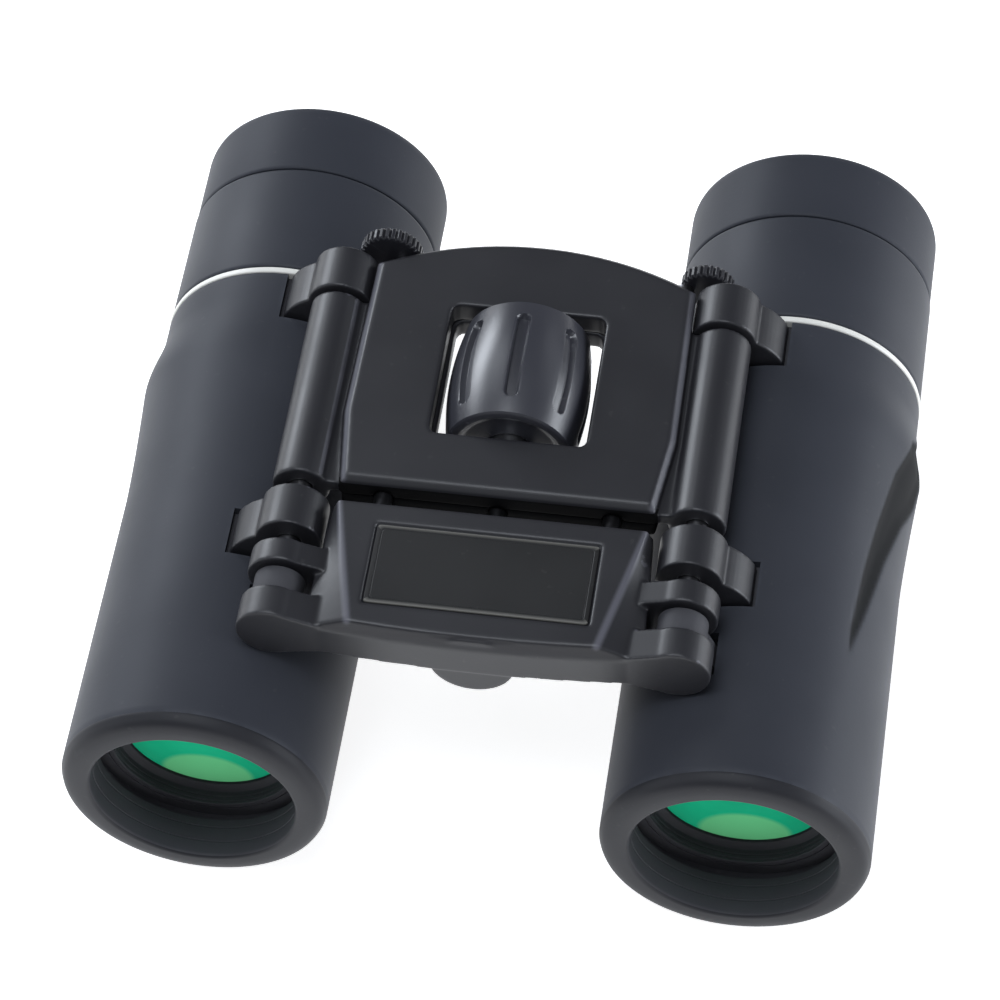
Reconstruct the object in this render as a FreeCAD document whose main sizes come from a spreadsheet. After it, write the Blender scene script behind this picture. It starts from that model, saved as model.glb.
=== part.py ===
import FreeCAD, Part

import math
import os
import re

import Sketcher

# Folding pocket binoculars, in millimetres. Each body is drawn in a local frame whose Y runs from the
# objective face (0) towards the eye and whose X and Z are zero on a barrel's axis, or on the middle
# plane of the bridge at the height of the barrels' axes. Its Placement then stands it in the assembly:
# +Z up, the barrels' lowest line at Z = 0, the middle of the length at Y = 0.

os.makedirs("parts", exist_ok=True)
doc = FreeCAD.newDocument("Binoculars")

SIZES = [
    # barrels
    ("barrel_length", 106.3, "objective face to the end of the eyecup"),
    ("barrel_radius", 17.5, "outside of the sleeve"),
    ("barrel_x", 35.2, "barrel axis from the middle plane, eyes 70.4 apart"),
    ("hinge_x", 26.0, "hinge rod from the middle plane"),
    ("hinge_z", 20.5, "hinge rod above the barrel axes"),
    ("hinge_reach", 22.47, "hinge rod to barrel axis"),
    ("fit_gap", 0.05, "gap between pieces that are fixed together"),
    ("running_gap", 0.08, "radial gap of a piece that slides or turns"),
    ("free_gap", 0.4, "gap to a piece that moves past"),
    ("focus_travel", 1.2, "objective cells each way"),
    # sleeve, tube and rings
    ("sleeve_wall", 1.25, "rubbery skin of the barrel"),
    ("sleeve_start", 2.05, "skin starts behind the front rim"),
    ("sleeve_end", 74.95, "skin ends at the white ring"),
    ("tube_radius", 16.2, "outside of the inner tube"),
    ("tube_bore", 14.8, "inside of the inner tube"),
    ("tube_start", 6.3, "front end of the inner tube"),
    ("tube_end", 75.9, "rear end of the inner tube"),
    ("ring_start", 75.0, "white ring"),
    ("ring_end", 76.0, "white ring"),
    ("ring_radius", 17.6, "white ring stands a little proud"),
    ("bump_start", 43.0, "grip bump on the outer side"),
    ("bump_peak", 62.0, "grip bump"),
    ("bump_end", 70.0, "grip bump"),
    ("bump_height", 1.15, "grip bump"),
    # front rim and objective
    ("hood_radius", 13.5, "clear hole of the front rim"),
    ("hood_depth", 5.9, "length of that hole"),
    ("rim_face", 15.7, "flat front of the rim"),
    ("rim_round", 1.9, "rounding of the rim's outer edge"),
    ("cell_radius", 14.72, "objective cell"),
    ("cell_start", 7.4, "objective cell"),
    ("cell_end", 24.0, "objective cell"),
    ("lens_radius", 11.6, "objective lens"),
    ("lens_start", 10.5, "front edge of the objective lens"),
    ("crown_edge", 1.2, "edge thickness of the front lens"),
    ("crown_curve", 48.0, "radius of the objective's front face"),
    ("cement_curve", 38.0, "radius of the cemented faces"),
    ("flint_end", 15.6, "rear edge of the second lens"),
    ("clear_radius", 11.1, "clear aperture, 22 across"),
    ("retainer_bore", 12.05, "step ring in front of the lens"),
    # arms
    ("knuckle_radius", 4.4, "hinge knuckle of an arm"),
    ("front_arm_start", 27.9, "front arm"),
    ("front_arm_end", 34.2, "front arm"),
    ("rear_arm_start", 67.8, "rear arm"),
    ("rear_arm_end", 74.6, "rear arm"),
    ("arm_clear_x", 20.2, "covers and slider stay inside this beside the arms' necks"),
    ("rod_radius", 1.5, "hinge rod"),
    ("rod_start", 15.4, "hinge rod"),
    ("rod_end", 76.0, "hinge rod"),
    # finger that carries an objective cell
    ("hub_radius", 3.3, "ring of the finger round the hinge rod"),
    ("hub_start", 18.35, "finger"),
    ("hub_end", 21.65, "finger"),
    ("neck_half", 2.2, "half width of the finger's neck"),
    # eyepiece end
    ("ocular_radius", 15.6, "tube that carries the rear ring and the eyecup"),
    ("ocular_bore", 12.9, "inside of that tube"),
    ("ocular_end", 103.5, "rear end of that tube"),
    ("rear_ring_start", 76.2, "ring in front of the eyecup"),
    ("rear_ring_end", 94.0, "ring in front of the eyecup"),
    ("eyecup_start", 94.3, "eyecup"),
    ("eyecup_radius", 17.4, "eyecup"),
    ("eyecup_hole", 11.5, "opening of the eyecup"),
    ("eyecup_lip", 2.0, "thickness of the eyecup's rear lip"),
    ("eyecell_start", 84.0, "eyepiece cell"),
    ("eyecell_end", 101.0, "eyepiece cell"),
    ("eye_lens_radius", 9.0, "eye lens"),
    ("field_lens_radius", 10.0, "field lens"),
    ("eye_curve", 27.0, "radius of the curved faces of both"),
    # prisms
    ("holder_start", 27.5, "prism holder"),
    ("holder_end", 68.0, "prism holder"),
    ("prism_half", 8.5, "half height and half width of the prisms"),
    # bridge covers
    ("cover_top", 24.0, "top face of the bridge"),
    ("cover_split", 20.5, "joint face of the two covers"),
    ("cover_bottom", 17.5, "underside of the bridge"),
    ("cover_front", 36.4, "front edge of the bridge"),
    ("cover_front_half", 20.6, "half width at the front edge"),
    ("cover_bend", 48.0, "where the sides start to taper"),
    ("cover_half", 22.0, "half width at the bend"),
    ("cover_rear", 73.6, "rear corners"),
    ("cover_rear_half", 21.7, "half width at the rear corners"),
    ("cover_rear_arc", 45.6, "radius of the bowed rear edge"),
    ("cover_bevel", 0.9, "bevel round the top face"),
    ("roller_radius", 3.8, "hinge roller on each side of the top cover"),
    ("roller_start", 36.8, "hinge roller"),
    ("roller_end", 67.3, "hinge roller"),
    ("window_half", 10.4, "half width of the wheel's window"),
    ("window_start", 45.4, "window"),
    ("window_end", 67.2, "window"),
    ("pocket_inner", 12.6, "lightening pockets beside the window"),
    ("pocket_outer", 19.6, "lightening pockets"),
    ("cover_wall", 1.5, "roof and floor over the pockets"),
    # focus wheel and spindle
    ("wheel_z", 19.5, "wheel axis above the barrel axes"),
    ("wheel_radius", 9.4, "crown of the wheel"),
    ("wheel_end_radius", 8.3, "ends of the wheel"),
    ("wheel_start", 46.7, "wheel"),
    ("wheel_end", 65.7, "wheel"),
    ("wheel_crown_arc", 41.6, "radius of the wheel's barrel shape"),
    ("wheel_recess", 6.9, "dished ends"),
    ("wheel_recess_depth", 0.8, "dished ends"),
    ("groove_half", 6.75, "half length of a grip groove"),
    ("groove_width", 1.8, "grip groove"),
    ("groove_floor", 8.6, "grip groove's floor from the axis"),
    ("groove_count", 8, "grip grooves"),
    ("spindle_radius", 1.2, "focus spindle"),
    ("spindle_start", 22.0, "focus spindle"),
    ("spindle_end", 72.0, "focus spindle"),
    # slider
    ("yoke_top", 24.4, "top face of the slider"),
    ("yoke_shoulder", 22.4, "where its sloping sides start"),
    ("yoke_bottom", 17.5, "underside of the slider"),
    ("yoke_front", 13.6, "front corners"),
    ("yoke_rear", 33.0, "rear edge"),
    ("yoke_bow", 220.0, "radius of the bowed front edge"),
    ("ear_radius", 4.4, "ears round the hinge rods"),
    ("ear_front_start", 13.4, "front ear"),
    ("ear_front_end", 18.0, "front ear"),
    ("ear_rear_start", 22.0, "rear ear"),
    ("ear_rear_end", 25.5, "rear ear"),
    ("lobe_radius", 5.5, "nose lobe under the spindle"),
    ("lobe_z", 18.7, "centre of the nose lobe"),
    ("label_half", 14.4, "half width of the label plate"),
    ("label_start", 17.25, "label plate"),
    ("label_end", 29.5, "label plate"),
    ("label_depth", 0.5, "recess for the label plate"),
    ("base_top", 18.1, "closing plate under the slider"),
    ("guide_x", 15.0, "guide rod from the middle plane"),
    ("guide_radius", 1.2, "guide rod"),
    # small round pieces
    ("cap_radius", 4.2, "knurled cap behind the bridge, left"),
    ("cap_x", 20.4, "left knurled cap"),
    ("cap_z", 21.4, "left knurled cap"),
    ("small_cap_radius", 3.6, "knurled cap behind the bridge, right"),
    ("small_cap_x", 22.8, "right knurled cap"),
    ("small_cap_z", 20.6, "right knurled cap"),
    ("small_stem_x", 19.8, "stem of the right cap"),
    ("stem_radius", 1.2, "stems of the knurled caps"),
    ("cap_start", 76.2, "knurled caps"),
    ("cap_end", 78.2, "knurled caps"),
    ("nose_disc_radius", 4.3, "knurled disc in the slider's nose"),
    ("nose_disc_x", 8.4, "knurled disc"),
    ("nose_disc_z", 19.4, "knurled disc"),
    ("screw_head", 1.7, "cover screws, head radius"),
    ("screw_shank", 0.8, "cover screws, shank radius"),
    ("cap_stem_x", 18.8, "stem of the left cap"),
    ("window_low_half", 9.95, "half width of the window in the lower cover"),
    ("window_round", 1.2, "rounded corners of the window"),
    # flare of an arm from its knuckle: sideways and down from the hinge
    ("neck_curve", 8.0, "radius of the flare"),
    ("neck_tip_side", 3.9, "where the flare leaves the knuckle"),
    ("neck_tip_drop", 1.0, "where the flare leaves the knuckle"),
    ("neck_foot_side", 6.0, "where the flare meets the barrel"),
    ("neck_foot_drop", 5.9, "where the flare meets the barrel"),
    ("neck_heel_side", 5.7, "outer corner in the tube's wall"),
    ("neck_heel_drop", 7.5, "outer corner in the tube's wall"),
    ("neck_inner_side", 3.9, "inner corner in the tube's wall"),
    ("neck_inner_drop", 7.0, "inner corner in the tube's wall"),
    ("neck_root_side", 3.4, "where the inner face leaves the knuckle"),
    ("neck_root_drop", 2.6, "where the inner face leaves the knuckle"),
    # slots for arms and fingers
    ("slot_inner", 4.6, "inner edge from the hinge's direction"),
    ("slot_outer", 6.6, "outer edge from the hinge's direction"),
    ("ring_slot_outer", 3.6, "outer edge in the white ring"),
    ("slot_start_gap", 0.5, "gap in front of an arm"),
    ("slot_floor", 10.0, "slots are cut from this height over the axis"),
    ("slot_roof", 20.0, "slots are cut up to this height"),
    # seats and steps round the objective
    ("bezel_lip", 0.4, "small chamfer at the mouth of the hood"),
    ("cell_flange", 1.35, "radial room for the retaining ring"),
    ("cell_back", 1.6, "shoulder behind the lenses"),
    ("lens_play", 0.1, "gap in front of and behind the lenses"),
    ("stop_step", 0.4, "shoulder inside the clear aperture"),
    ("retainer_wall", 1.3, "retaining ring over the lens radius"),
    ("retainer_gap", 0.15, "gap between ring and lens"),
    ("retainer_lip", 0.6, "front of the ring's inner lip"),
    ("finger_bury", 1.2, "root of the finger in the cell's wall"),
    ("finger_top", 1.0, "finger ends this far below the hinge"),
    # prisms, from the front of the holder
    ("holder_bore", 9.0, "openings of the holder"),
    ("holder_wall", 1.3, "wall of the holder"),
    ("holder_floor", 1.4, "ends of the holder"),
    ("prism_start", 3.0, "entry face"),
    ("prism_foot", 16.0, "lower corner of the first prism"),
    ("prism_knee", 20.0, "rear corner of the first prism"),
    ("prism_corner", 4.0, "height of that corner"),
    ("prism_crest", 7.0, "upper end of the slanting face"),
    ("prism_gap", 0.8, "air gap between the prisms"),
    ("roof_foot", 25.0, "lower corner of the roof prism"),
    ("roof_end", 34.0, "exit face"),
    # eyepiece
    ("spigot_start", 70.0, "front of the ocular tube's spigot"),
    ("stop_hole", 7.5, "field stop"),
    ("stop_start", 78.0, "field stop"),
    ("stop_end", 79.0, "field stop"),
    ("lens_seat", 0.6, "ledge that a lens rests on"),
    ("eye_pocket", 4.1, "depth of the eye lens's seat"),
    ("eye_back", 4.0, "front face of the eye lens, from the cell's end"),
    ("eye_rim", 2.6, "rear rim of the eye lens, from the cell's end"),
    ("field_pocket", 1.4, "field lens's seat, from the cell's start"),
    ("field_pocket_end", 6.2, "rear end of that seat"),
    ("field_front", 1.5, "front face of the field lens"),
    ("field_rim", 3.0, "rear rim of the field lens"),
    ("eyecup_round", 1.4, "rounding of the eyecup's rear edge"),
    # bores, webs and screws of the bridge
    ("guide_depth", 8.0, "guide rods in the bridge"),
    ("guide_reach", 7.0, "guide rods in the slider"),
    ("stem_depth", 1.6, "stems in the bridge"),
    ("spindle_play", 0.3, "free end and free hole of the spindle"),
    ("neck_room_drop", 0.7, "room for the necks ends below the hinge"),
    ("web_inner", 19.0, "web between top cover and roller"),
    ("web_drop", 1.7, "web lies below the top face"),
    ("screw_tip", 0.5, "screw holes beyond the inside of the roof"),
    ("screw_front_x", 18.0, "front screws"),
    ("screw_front_y", 41.0, "front screws"),
    ("screw_rear_x", 15.5, "rear screws"),
    ("screw_rear_y", 71.2, "rear screws"),
    ("head_sunk", 0.1, "screw heads below the underside"),
    ("head_seat", 0.95, "inner face of the screw heads"),
    ("rod_head", 2.5, "head of a hinge rod"),
    ("washer_radius", 3.0, "thrust washers"),
    ("washer_gap", 0.3, "washers to the covers"),
    # outlines and walls of the slider
    ("yoke_front_half", 21.9, "half width in front"),
    ("yoke_rear_half", 20.8, "half width behind"),
    ("crest_front_half", 15.9, "half width of the top face in front"),
    ("crest_rear_half", 20.1, "half width of the top face behind"),
    ("crest_front_step", 0.4, "top face lies behind the front edge"),
    ("crest_rear_step", 0.3, "top face lies before the rear edge"),
    ("ear_root", 19.5, "where the ears leave the slider"),
    ("ear_rise", 0.6, "ears at their root over the shoulder"),
    ("ear_face", 0.4, "front ears close the ends of the rods"),
    ("lobe_proud", 0.7, "lobe in front of the slider"),
    ("lobe_depth", 2.4, "lobe inside the slider"),
    ("lobe_step", 0.2, "flat above the lobe"),
    ("cavity_half", 18.2, "hollow of the slider"),
    ("front_wall", 3.0, "front wall of the slider"),
    ("rear_wall", 1.9, "rear wall of the slider"),
    ("roof_wall", 1.9, "roof of the slider"),
    ("bore_depth", 2.5, "bores in the rear wall"),
    ("disc_start", 0.6, "knurled disc behind the front edge"),
    ("disc_end", 2.6, "knurled disc behind the front edge"),
    ("label_gap", 0.25, "gap round the label plate"),
    ("label_sunk", 0.15, "label plate below the top face"),
    ("nut_half", 3.5, "half width of the nut"),
    ("nut_length", 6.0, "nut"),
]

sheet = doc.addObject("Spreadsheet::Sheet", "Sizes")
for row, (alias, number, meaning) in enumerate(SIZES, 1):
    sheet.set("A%d" % row, str(number))
    sheet.setAlias("A%d" % row, alias)
    sheet.set("B%d" % row, meaning)
doc.recompute()

BODIES = []
SIDES = {"left": -1, "right": 1}
NORMAL_SIGN = {"XY_Plane": 1, "XZ_Plane": -1, "YZ_Plane": 1}


def bound(text):
    """Expression with the sheet's name put before each alias."""
    return re.sub(r"\b[a-z]+_[a-z_]+", lambda word: "Sizes." + word.group(0), str(text))


def number_of(text):
    """Value of an expression of aliases, in millimetres."""
    return float(sheet.evalExpression(bound(text)))


def new_body(label, side=0):
    """Empty body in the bridge's frame, or with side -1 or 1 in the frame of a barrel.

    A barrel's frame leans so that its hinge rod is straight above the barrel's axis.
    """
    body = doc.addObject("PartDesign::Body", label)
    body.Label = label
    if side:
        body.Placement = FreeCAD.Placement(
            FreeCAD.Vector(), FreeCAD.Rotation(FreeCAD.Vector(0, -side, 0), 1)
        )
        body.setExpression("Placement.Base.x", "%d * Sizes.barrel_x" % side)
        lean = "atan((Sizes.barrel_x - Sizes.hinge_x) / Sizes.hinge_z)"
        body.setExpression("Placement.Rotation.Angle", lean)
    body.setExpression("Placement.Base.y", "-Sizes.barrel_length / 2")
    body.setExpression("Placement.Base.z", "Sizes.barrel_radius")
    BODIES.append(body)
    return body


def origin_part(body, role):
    """Origin plane or axis of a body."""
    return next(item for item in body.Origin.OriginFeatures if item.Role == role)


def new_sketch(body, plane, height):
    """Sketch parallel to an origin plane, at a height along +X, +Y or +Z."""
    sketch = body.newObject("Sketcher::SketchObject", "Outline")
    sketch.AttachmentSupport = [(origin_part(body, plane), "")]
    sketch.MapMode = "FlatFace"
    offset = "%d * (%s)" % (NORMAL_SIGN[plane], bound(height))
    sketch.setExpression("AttachmentOffset.Base.z", offset)
    return sketch


def fix_point(sketch, edge, position, across, along):
    """Tie a sketch point to the sheet in both directions."""
    for kind, text in (("DistanceX", across), ("DistanceY", along)):
        constraint = Sketcher.Constraint(kind, -1, 1, edge, position, number_of(text))
        index = sketch.addConstraint(constraint)
        sketch.setExpression("Constraints[%d]" % index, bound(text))


def add_circle(sketch, across, along, radius):
    """Circle whose centre and radius come from the sheet."""
    centre = FreeCAD.Vector(number_of(across), number_of(along), 0)
    circle = Part.Circle(centre, FreeCAD.Vector(0, 0, 1), number_of(radius))
    edge = sketch.addGeometry(circle, False)
    fix_point(sketch, edge, 3, across, along)
    index = sketch.addConstraint(Sketcher.Constraint("Radius", edge, number_of(radius)))
    sketch.setExpression("Constraints[%d]" % index, bound(radius))


def arc_between(first, last, radius, turn):
    """Arc of a radius; turn 1 bulges to the right of the way from first to last, -1 to the left."""
    chord = last - first
    half = chord.Length / 2
    along = FreeCAD.Vector(chord).normalize()
    right = FreeCAD.Vector(along.y, -along.x, 0)
    rise = radius - math.sqrt(radius * radius - half * half)
    middle = (first + last) * 0.5 + right * (turn * rise)
    return Part.Arc(first, middle, last)


def add_outline(sketch, points):
    """Closed outline. A point is (across, along), or (across, along, radius, turn) before an arc."""
    places = [FreeCAD.Vector(number_of(point[0]), number_of(point[1]), 0) for point in points]
    first_edge = sketch.GeometryCount
    count = len(points)
    for index, point in enumerate(points):
        start = places[index]
        end = places[(index + 1) % count]
        if len(point) == 4:
            sketch.addGeometry(arc_between(start, end, number_of(point[2]), point[3]), False)
        else:
            sketch.addGeometry(Part.LineSegment(start, end), False)
    ends = {}
    for index, point in enumerate(points):
        clockwise_arc = len(point) == 4 and point[3] < 0
        ends[index] = (2, 1) if clockwise_arc else (1, 2)
    for index, point in enumerate(points):
        before = (index - 1) % count
        join = Sketcher.Constraint(
            "Coincident", first_edge + before, ends[before][1], first_edge + index, ends[index][0]
        )
        sketch.addConstraint(join)
        fix_point(sketch, first_edge + index, ends[index][0], point[0], point[1])
        if len(point) == 4:
            radius = Sketcher.Constraint("Radius", first_edge + index, number_of(point[2]))
            place = sketch.addConstraint(radius)
            sketch.setExpression("Constraints[%d]" % place, bound(point[2]))


def draw(sketch, shapes):
    """Circles are tuples of three texts, outlines are lists of points."""
    for shape in shapes:
        if isinstance(shape, tuple):
            add_circle(sketch, *shape)
        else:
            add_outline(sketch, shape)


def pad(body, plane, shapes, start, end):
    """Add material between two heights over a plane."""
    sketch = new_sketch(body, plane, start)
    draw(sketch, shapes)
    feature = body.newObject("PartDesign::Pad", "Pad")
    feature.Profile = sketch
    feature.Reversed = NORMAL_SIGN[plane] < 0
    feature.setExpression("Length", bound("(%s) - (%s)" % (end, start)))
    doc.recompute()
    return feature


def pocket(body, plane, shapes, start, end):
    """Take material away between two heights over a plane."""
    before = body.Shape.Volume
    sketch = new_sketch(body, plane, start)
    draw(sketch, shapes)
    feature = body.newObject("PartDesign::Pocket", "Pocket")
    feature.Profile = sketch
    feature.Reversed = NORMAL_SIGN[plane] > 0
    feature.setExpression("Length", bound("(%s) - (%s)" % (end, start)))
    doc.recompute()
    if body.Shape.Volume >= before - 1e-6:
        raise RuntimeError("%s: a pocket cuts nothing" % body.Label)
    return feature


def revolve(body, outlines):
    """Turn outlines of (radius, height) round the body's Y axis."""
    sketch = new_sketch(body, "XY_Plane", "0")
    draw(sketch, outlines)
    feature = body.newObject("PartDesign::Revolution", "Turned")
    feature.Profile = (sketch, [""])
    feature.ReferenceAxis = (sketch, ["V_Axis"])
    feature.Angle = 360
    doc.recompute()
    return feature


def loft(body, sections):
    """Ruled loft through (plane, shapes, height) sections."""
    sketches = []
    for plane, shapes, height in sections:
        sketch = new_sketch(body, plane, height)
        draw(sketch, shapes)
        sketches.append(sketch)
    feature = body.newObject("PartDesign::AdditiveLoft", "Loft")
    feature.Profile = sketches[0]
    feature.Sections = sketches[1:]
    feature.Ruled = True
    doc.recompute()
    return feature


def bevel(body, kind, size, chosen):
    """Chamfer or fillet the edges that a test picks."""
    tip = body.Tip
    names = [
        "Edge%d" % index for index, edge in enumerate(tip.Shape.Edges, 1) if chosen(edge.BoundBox)
    ]
    feature = body.newObject("PartDesign::" + kind, kind)
    feature.Base = (tip, names)
    feature.setExpression("Size" if kind == "Chamfer" else "Radius", bound(size))
    doc.recompute()
    return feature


def ring(inner, outer, start, end):
    """Rectangular section for revolve."""
    return [(inner, start), (outer, start), (outer, end), (inner, end)]


def box_outline(left, right, low, high):
    """Rectangle for a pad or a pocket."""
    return [(left, low), (right, low), (right, high), (left, high)]


# ---------------------------------------------------------------- barrels


def arm_neck(side):
    """Section of a hinge arm between its knuckle and the inner tube, in a barrel's frame."""
    outline = [
        ("%d * neck_tip_side" % side, "hinge_reach - neck_tip_drop", "neck_curve", -side),
        ("%d * neck_foot_side" % side, "hinge_reach - neck_foot_drop"),
        ("%d * neck_heel_side" % side, "hinge_reach - neck_heel_drop"),
        ("%d * -neck_inner_side" % side, "hinge_reach - neck_inner_drop"),
        ("%d * -neck_root_side" % side, "hinge_reach - neck_root_drop"),
    ]
    return outline


def slot_through_wall(body, side, low, high, start, end):
    """Cut a window in the wall of a barrel's tube or sleeve, on the hinge side."""
    left = "%d * (%s)" % (side, low)
    right = "%d * (%s)" % (side, high)
    pocket(body, "XY_Plane", [box_outline(left, right, start, end)], "slot_floor", "slot_roof")


def barrel_sleeve(name, side):
    """Skin of the barrel, with the grip bump on the outer side and slots for arms and finger."""
    body = new_body(name + "_barrel_sleeve", side)
    wall_inside = "barrel_radius - sleeve_wall"
    revolve(body, [ring(wall_inside, "barrel_radius", "sleeve_start", "sleeve_end")])
    lean_across = "%d * hinge_z / hinge_reach" % side
    lean_along = "-(barrel_x - hinge_x) / hinge_reach"
    sections = []
    for height, share in (("bump_start", 0), ("bump_peak", 1), ("bump_end", 0)):
        across = "%s * bump_height * %d" % (lean_across, share)
        along = "%s * bump_height * %d" % (lean_along, share)
        sections.append(("XZ_Plane", [(across, along, "barrel_radius - fit_gap")], height))
    loft(body, sections)
    pocket(body, "XZ_Plane", [("0", "0", wall_inside)], "sleeve_start - 1", "sleeve_end + 1")
    for arm in ("front_arm", "rear_arm"):
        start = arm + "_start - slot_start_gap"
        end = arm + "_end + free_gap" if arm == "front_arm" else "sleeve_end + 1"
        slot_through_wall(body, side, "-slot_inner", "slot_outer", start, end)
    slot_through_wall(
        body, side, "-neck_half - free_gap", "neck_half + free_gap",
        "hub_start - focus_travel - free_gap", "hub_end + focus_travel + free_gap"
    )


def barrel_tube(name, side):
    """Inner tube, moulded in one with the two hinge arms."""
    body = new_body(name + "_barrel_tube", side)
    revolve(body, [ring("tube_bore", "tube_radius", "tube_start", "tube_end")])
    for arm in ("front_arm", "rear_arm"):
        start = arm + "_start"
        end = arm + "_end"
        pad(body, "XZ_Plane", [("0", "hinge_reach", "knuckle_radius")], start, end)
        pad(body, "XZ_Plane", [arm_neck(side)], start, end)
        bore = [("0", "hinge_reach", "rod_radius + running_gap")]
        pocket(body, "XZ_Plane", bore, start + " - 1", end + " + 1")
    slot_through_wall(
        body, side, "-neck_half - free_gap", "neck_half + free_gap",
        "hub_start - focus_travel - free_gap", "hub_end + focus_travel + free_gap"
    )


def front_bezel(name, side):
    """Dark rim that closes the front of the skin and shades the objective."""
    body = new_body(name + "_front_bezel", side)
    rim = [
        ("hood_radius", "bezel_lip"),
        ("hood_radius + bezel_lip", "0"),
        ("rim_face", "0", "rim_round", 1),
        ("barrel_radius", "rim_round"),
        ("barrel_radius", "sleeve_start - fit_gap"),
        ("tube_radius", "sleeve_start - fit_gap"),
        ("tube_radius", "hood_depth"),
        ("hood_radius", "hood_depth"),
    ]
    revolve(body, [rim])


def objective_cell(name, side):
    """Sliding cell of the objective, with the finger that reaches the hinge rod."""
    body = new_body(name + "_objective_cell", side)
    profile = [
        ("lens_radius + cell_flange", "cell_start"),
        ("cell_radius", "cell_start"),
        ("cell_radius", "cell_end"),
        ("lens_radius", "cell_end"),
        ("lens_radius", "flint_end + cell_back"),
        ("clear_radius - stop_step", "flint_end + cell_back"),
        ("clear_radius - stop_step", "flint_end + lens_play"),
        ("lens_radius + fit_gap", "flint_end + lens_play"),
        ("lens_radius + fit_gap", "lens_start - lens_play"),
        ("lens_radius + cell_flange", "lens_start - lens_play"),
    ]
    revolve(body, [profile])
    pad(body, "XZ_Plane", [("0", "hinge_reach", "hub_radius")], "hub_start", "hub_end")
    neck = box_outline(
        "-neck_half", "neck_half", "cell_radius - finger_bury", "hinge_reach - finger_top"
    )
    pad(body, "XZ_Plane", [neck], "hub_start", "hub_end")
    bore = [("0", "hinge_reach", "rod_radius + running_gap")]
    pocket(body, "XZ_Plane", bore, "hub_start - 1", "hub_end + 1")


def retaining_ring(name, side):
    """Stepped ring that holds the objective in its cell."""
    body = new_body(name + "_retaining_ring", side)
    profile = [
        ("retainer_bore", "cell_start"),
        ("lens_radius + retainer_wall", "cell_start"),
        ("lens_radius + retainer_wall", "lens_start - retainer_gap"),
        ("clear_radius", "lens_start - retainer_gap"),
        ("clear_radius", "lens_start - retainer_lip"),
        ("retainer_bore", "lens_start - retainer_lip"),
    ]
    revolve(body, [profile])


def rise_of(curve, radius):
    """Height of a spherical cap over its rim, so that the cap meets the axis squarely."""
    return "(%s - sqrt(%s * %s - %s * %s))" % (curve, curve, curve, radius, radius)


def objective_lenses(name, side):
    """Cemented pair: a crown lens in front and a flint lens behind."""
    front = new_body(name + "_objective_front_lens", side)
    front_rise = rise_of("crown_curve", "lens_radius")
    back_rise = rise_of("cement_curve", "lens_radius")
    crown = [
        ("0", "lens_start - " + front_rise, "crown_curve", 1),
        ("lens_radius", "lens_start"),
        ("lens_radius", "lens_start + crown_edge", "cement_curve", 1),
        ("0", "lens_start + crown_edge + " + back_rise),
    ]
    revolve(front, [crown])
    rear = new_body(name + "_objective_rear_lens", side)
    flint = [
        ("0", "lens_start + crown_edge + fit_gap + " + back_rise, "cement_curve", -1),
        ("lens_radius", "lens_start + crown_edge + fit_gap"),
        ("lens_radius", "flint_end"),
        ("0", "flint_end"),
    ]
    revolve(rear, [flint])


def prism_set(name, side):
    """Holder with its half-penta prism and roof prism."""
    holder = new_body(name + "_prism_holder", side)
    outer = "tube_bore - fit_gap"
    inner = "tube_bore - holder_wall"
    profile = [
        ("holder_bore", "holder_start"),
        (outer, "holder_start"),
        (outer, "holder_end"),
        ("holder_bore", "holder_end"),
        ("holder_bore", "holder_end - holder_floor"),
        (inner, "holder_end - holder_floor"),
        (inner, "holder_start + holder_floor"),
        ("holder_bore", "holder_start + holder_floor"),
    ]
    revolve(holder, [profile])
    first = new_body(name + "_half_penta_prism", side)
    half_penta = [
        ("holder_start + prism_start", "-prism_half"),
        ("holder_start + prism_foot", "-prism_half"),
        ("holder_start + prism_knee", "-prism_half + prism_corner"),
        ("holder_start + prism_crest", "prism_half"),
        ("holder_start + prism_start", "prism_half"),
    ]
    pad(first, "YZ_Plane", [half_penta], "-prism_half", "prism_half")
    second = new_body(name + "_roof_prism", side)
    roof = [
        ("holder_start + prism_knee + prism_gap", "-prism_half + prism_corner"),
        ("holder_start + roof_foot", "-prism_half"),
        ("holder_start + roof_end", "-prism_half"),
        ("holder_start + roof_end", "prism_half"),
        ("holder_start + prism_crest + prism_gap", "prism_half"),
    ]
    pad(second, "YZ_Plane", [roof], "-prism_half", "prism_half")


def ocular_tube(name, side):
    """Fixed rear tube: a spigot in the inner tube, then the seat of the ring and the eyecup."""
    body = new_body(name + "_ocular_tube", side)
    profile = [
        ("ocular_bore", "spigot_start"),
        ("tube_bore - fit_gap", "spigot_start"),
        ("tube_bore - fit_gap", "tube_end + fit_gap"),
        ("ocular_radius", "tube_end + fit_gap"),
        ("ocular_radius", "ocular_end"),
        ("ocular_bore", "ocular_end"),
    ]
    revolve(body, [profile])


def field_stop(name, side):
    """Thin washer that bounds the field of view."""
    body = new_body(name + "_field_stop", side)
    revolve(body, [ring("stop_hole", "ocular_bore - fit_gap", "stop_start", "stop_end")])


def white_ring(name, side):
    """Light trim ring between skin and rear ring."""
    body = new_body(name + "_white_ring", side)
    revolve(body, [ring("tube_radius + fit_gap", "ring_radius", "ring_start", "ring_end - fit_gap")])
    slot_through_wall(body, side, "-slot_inner", "ring_slot_outer", "ring_start - 1", "ring_end + 1")


def rear_ring(label, side):
    """Ring in front of the eyecup: fixed on the left, the dioptre ring on the right."""
    body = new_body(label, side)
    inner = "ocular_radius + running_gap"
    revolve(body, [ring(inner, "barrel_radius", "rear_ring_start", "rear_ring_end")])


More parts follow.
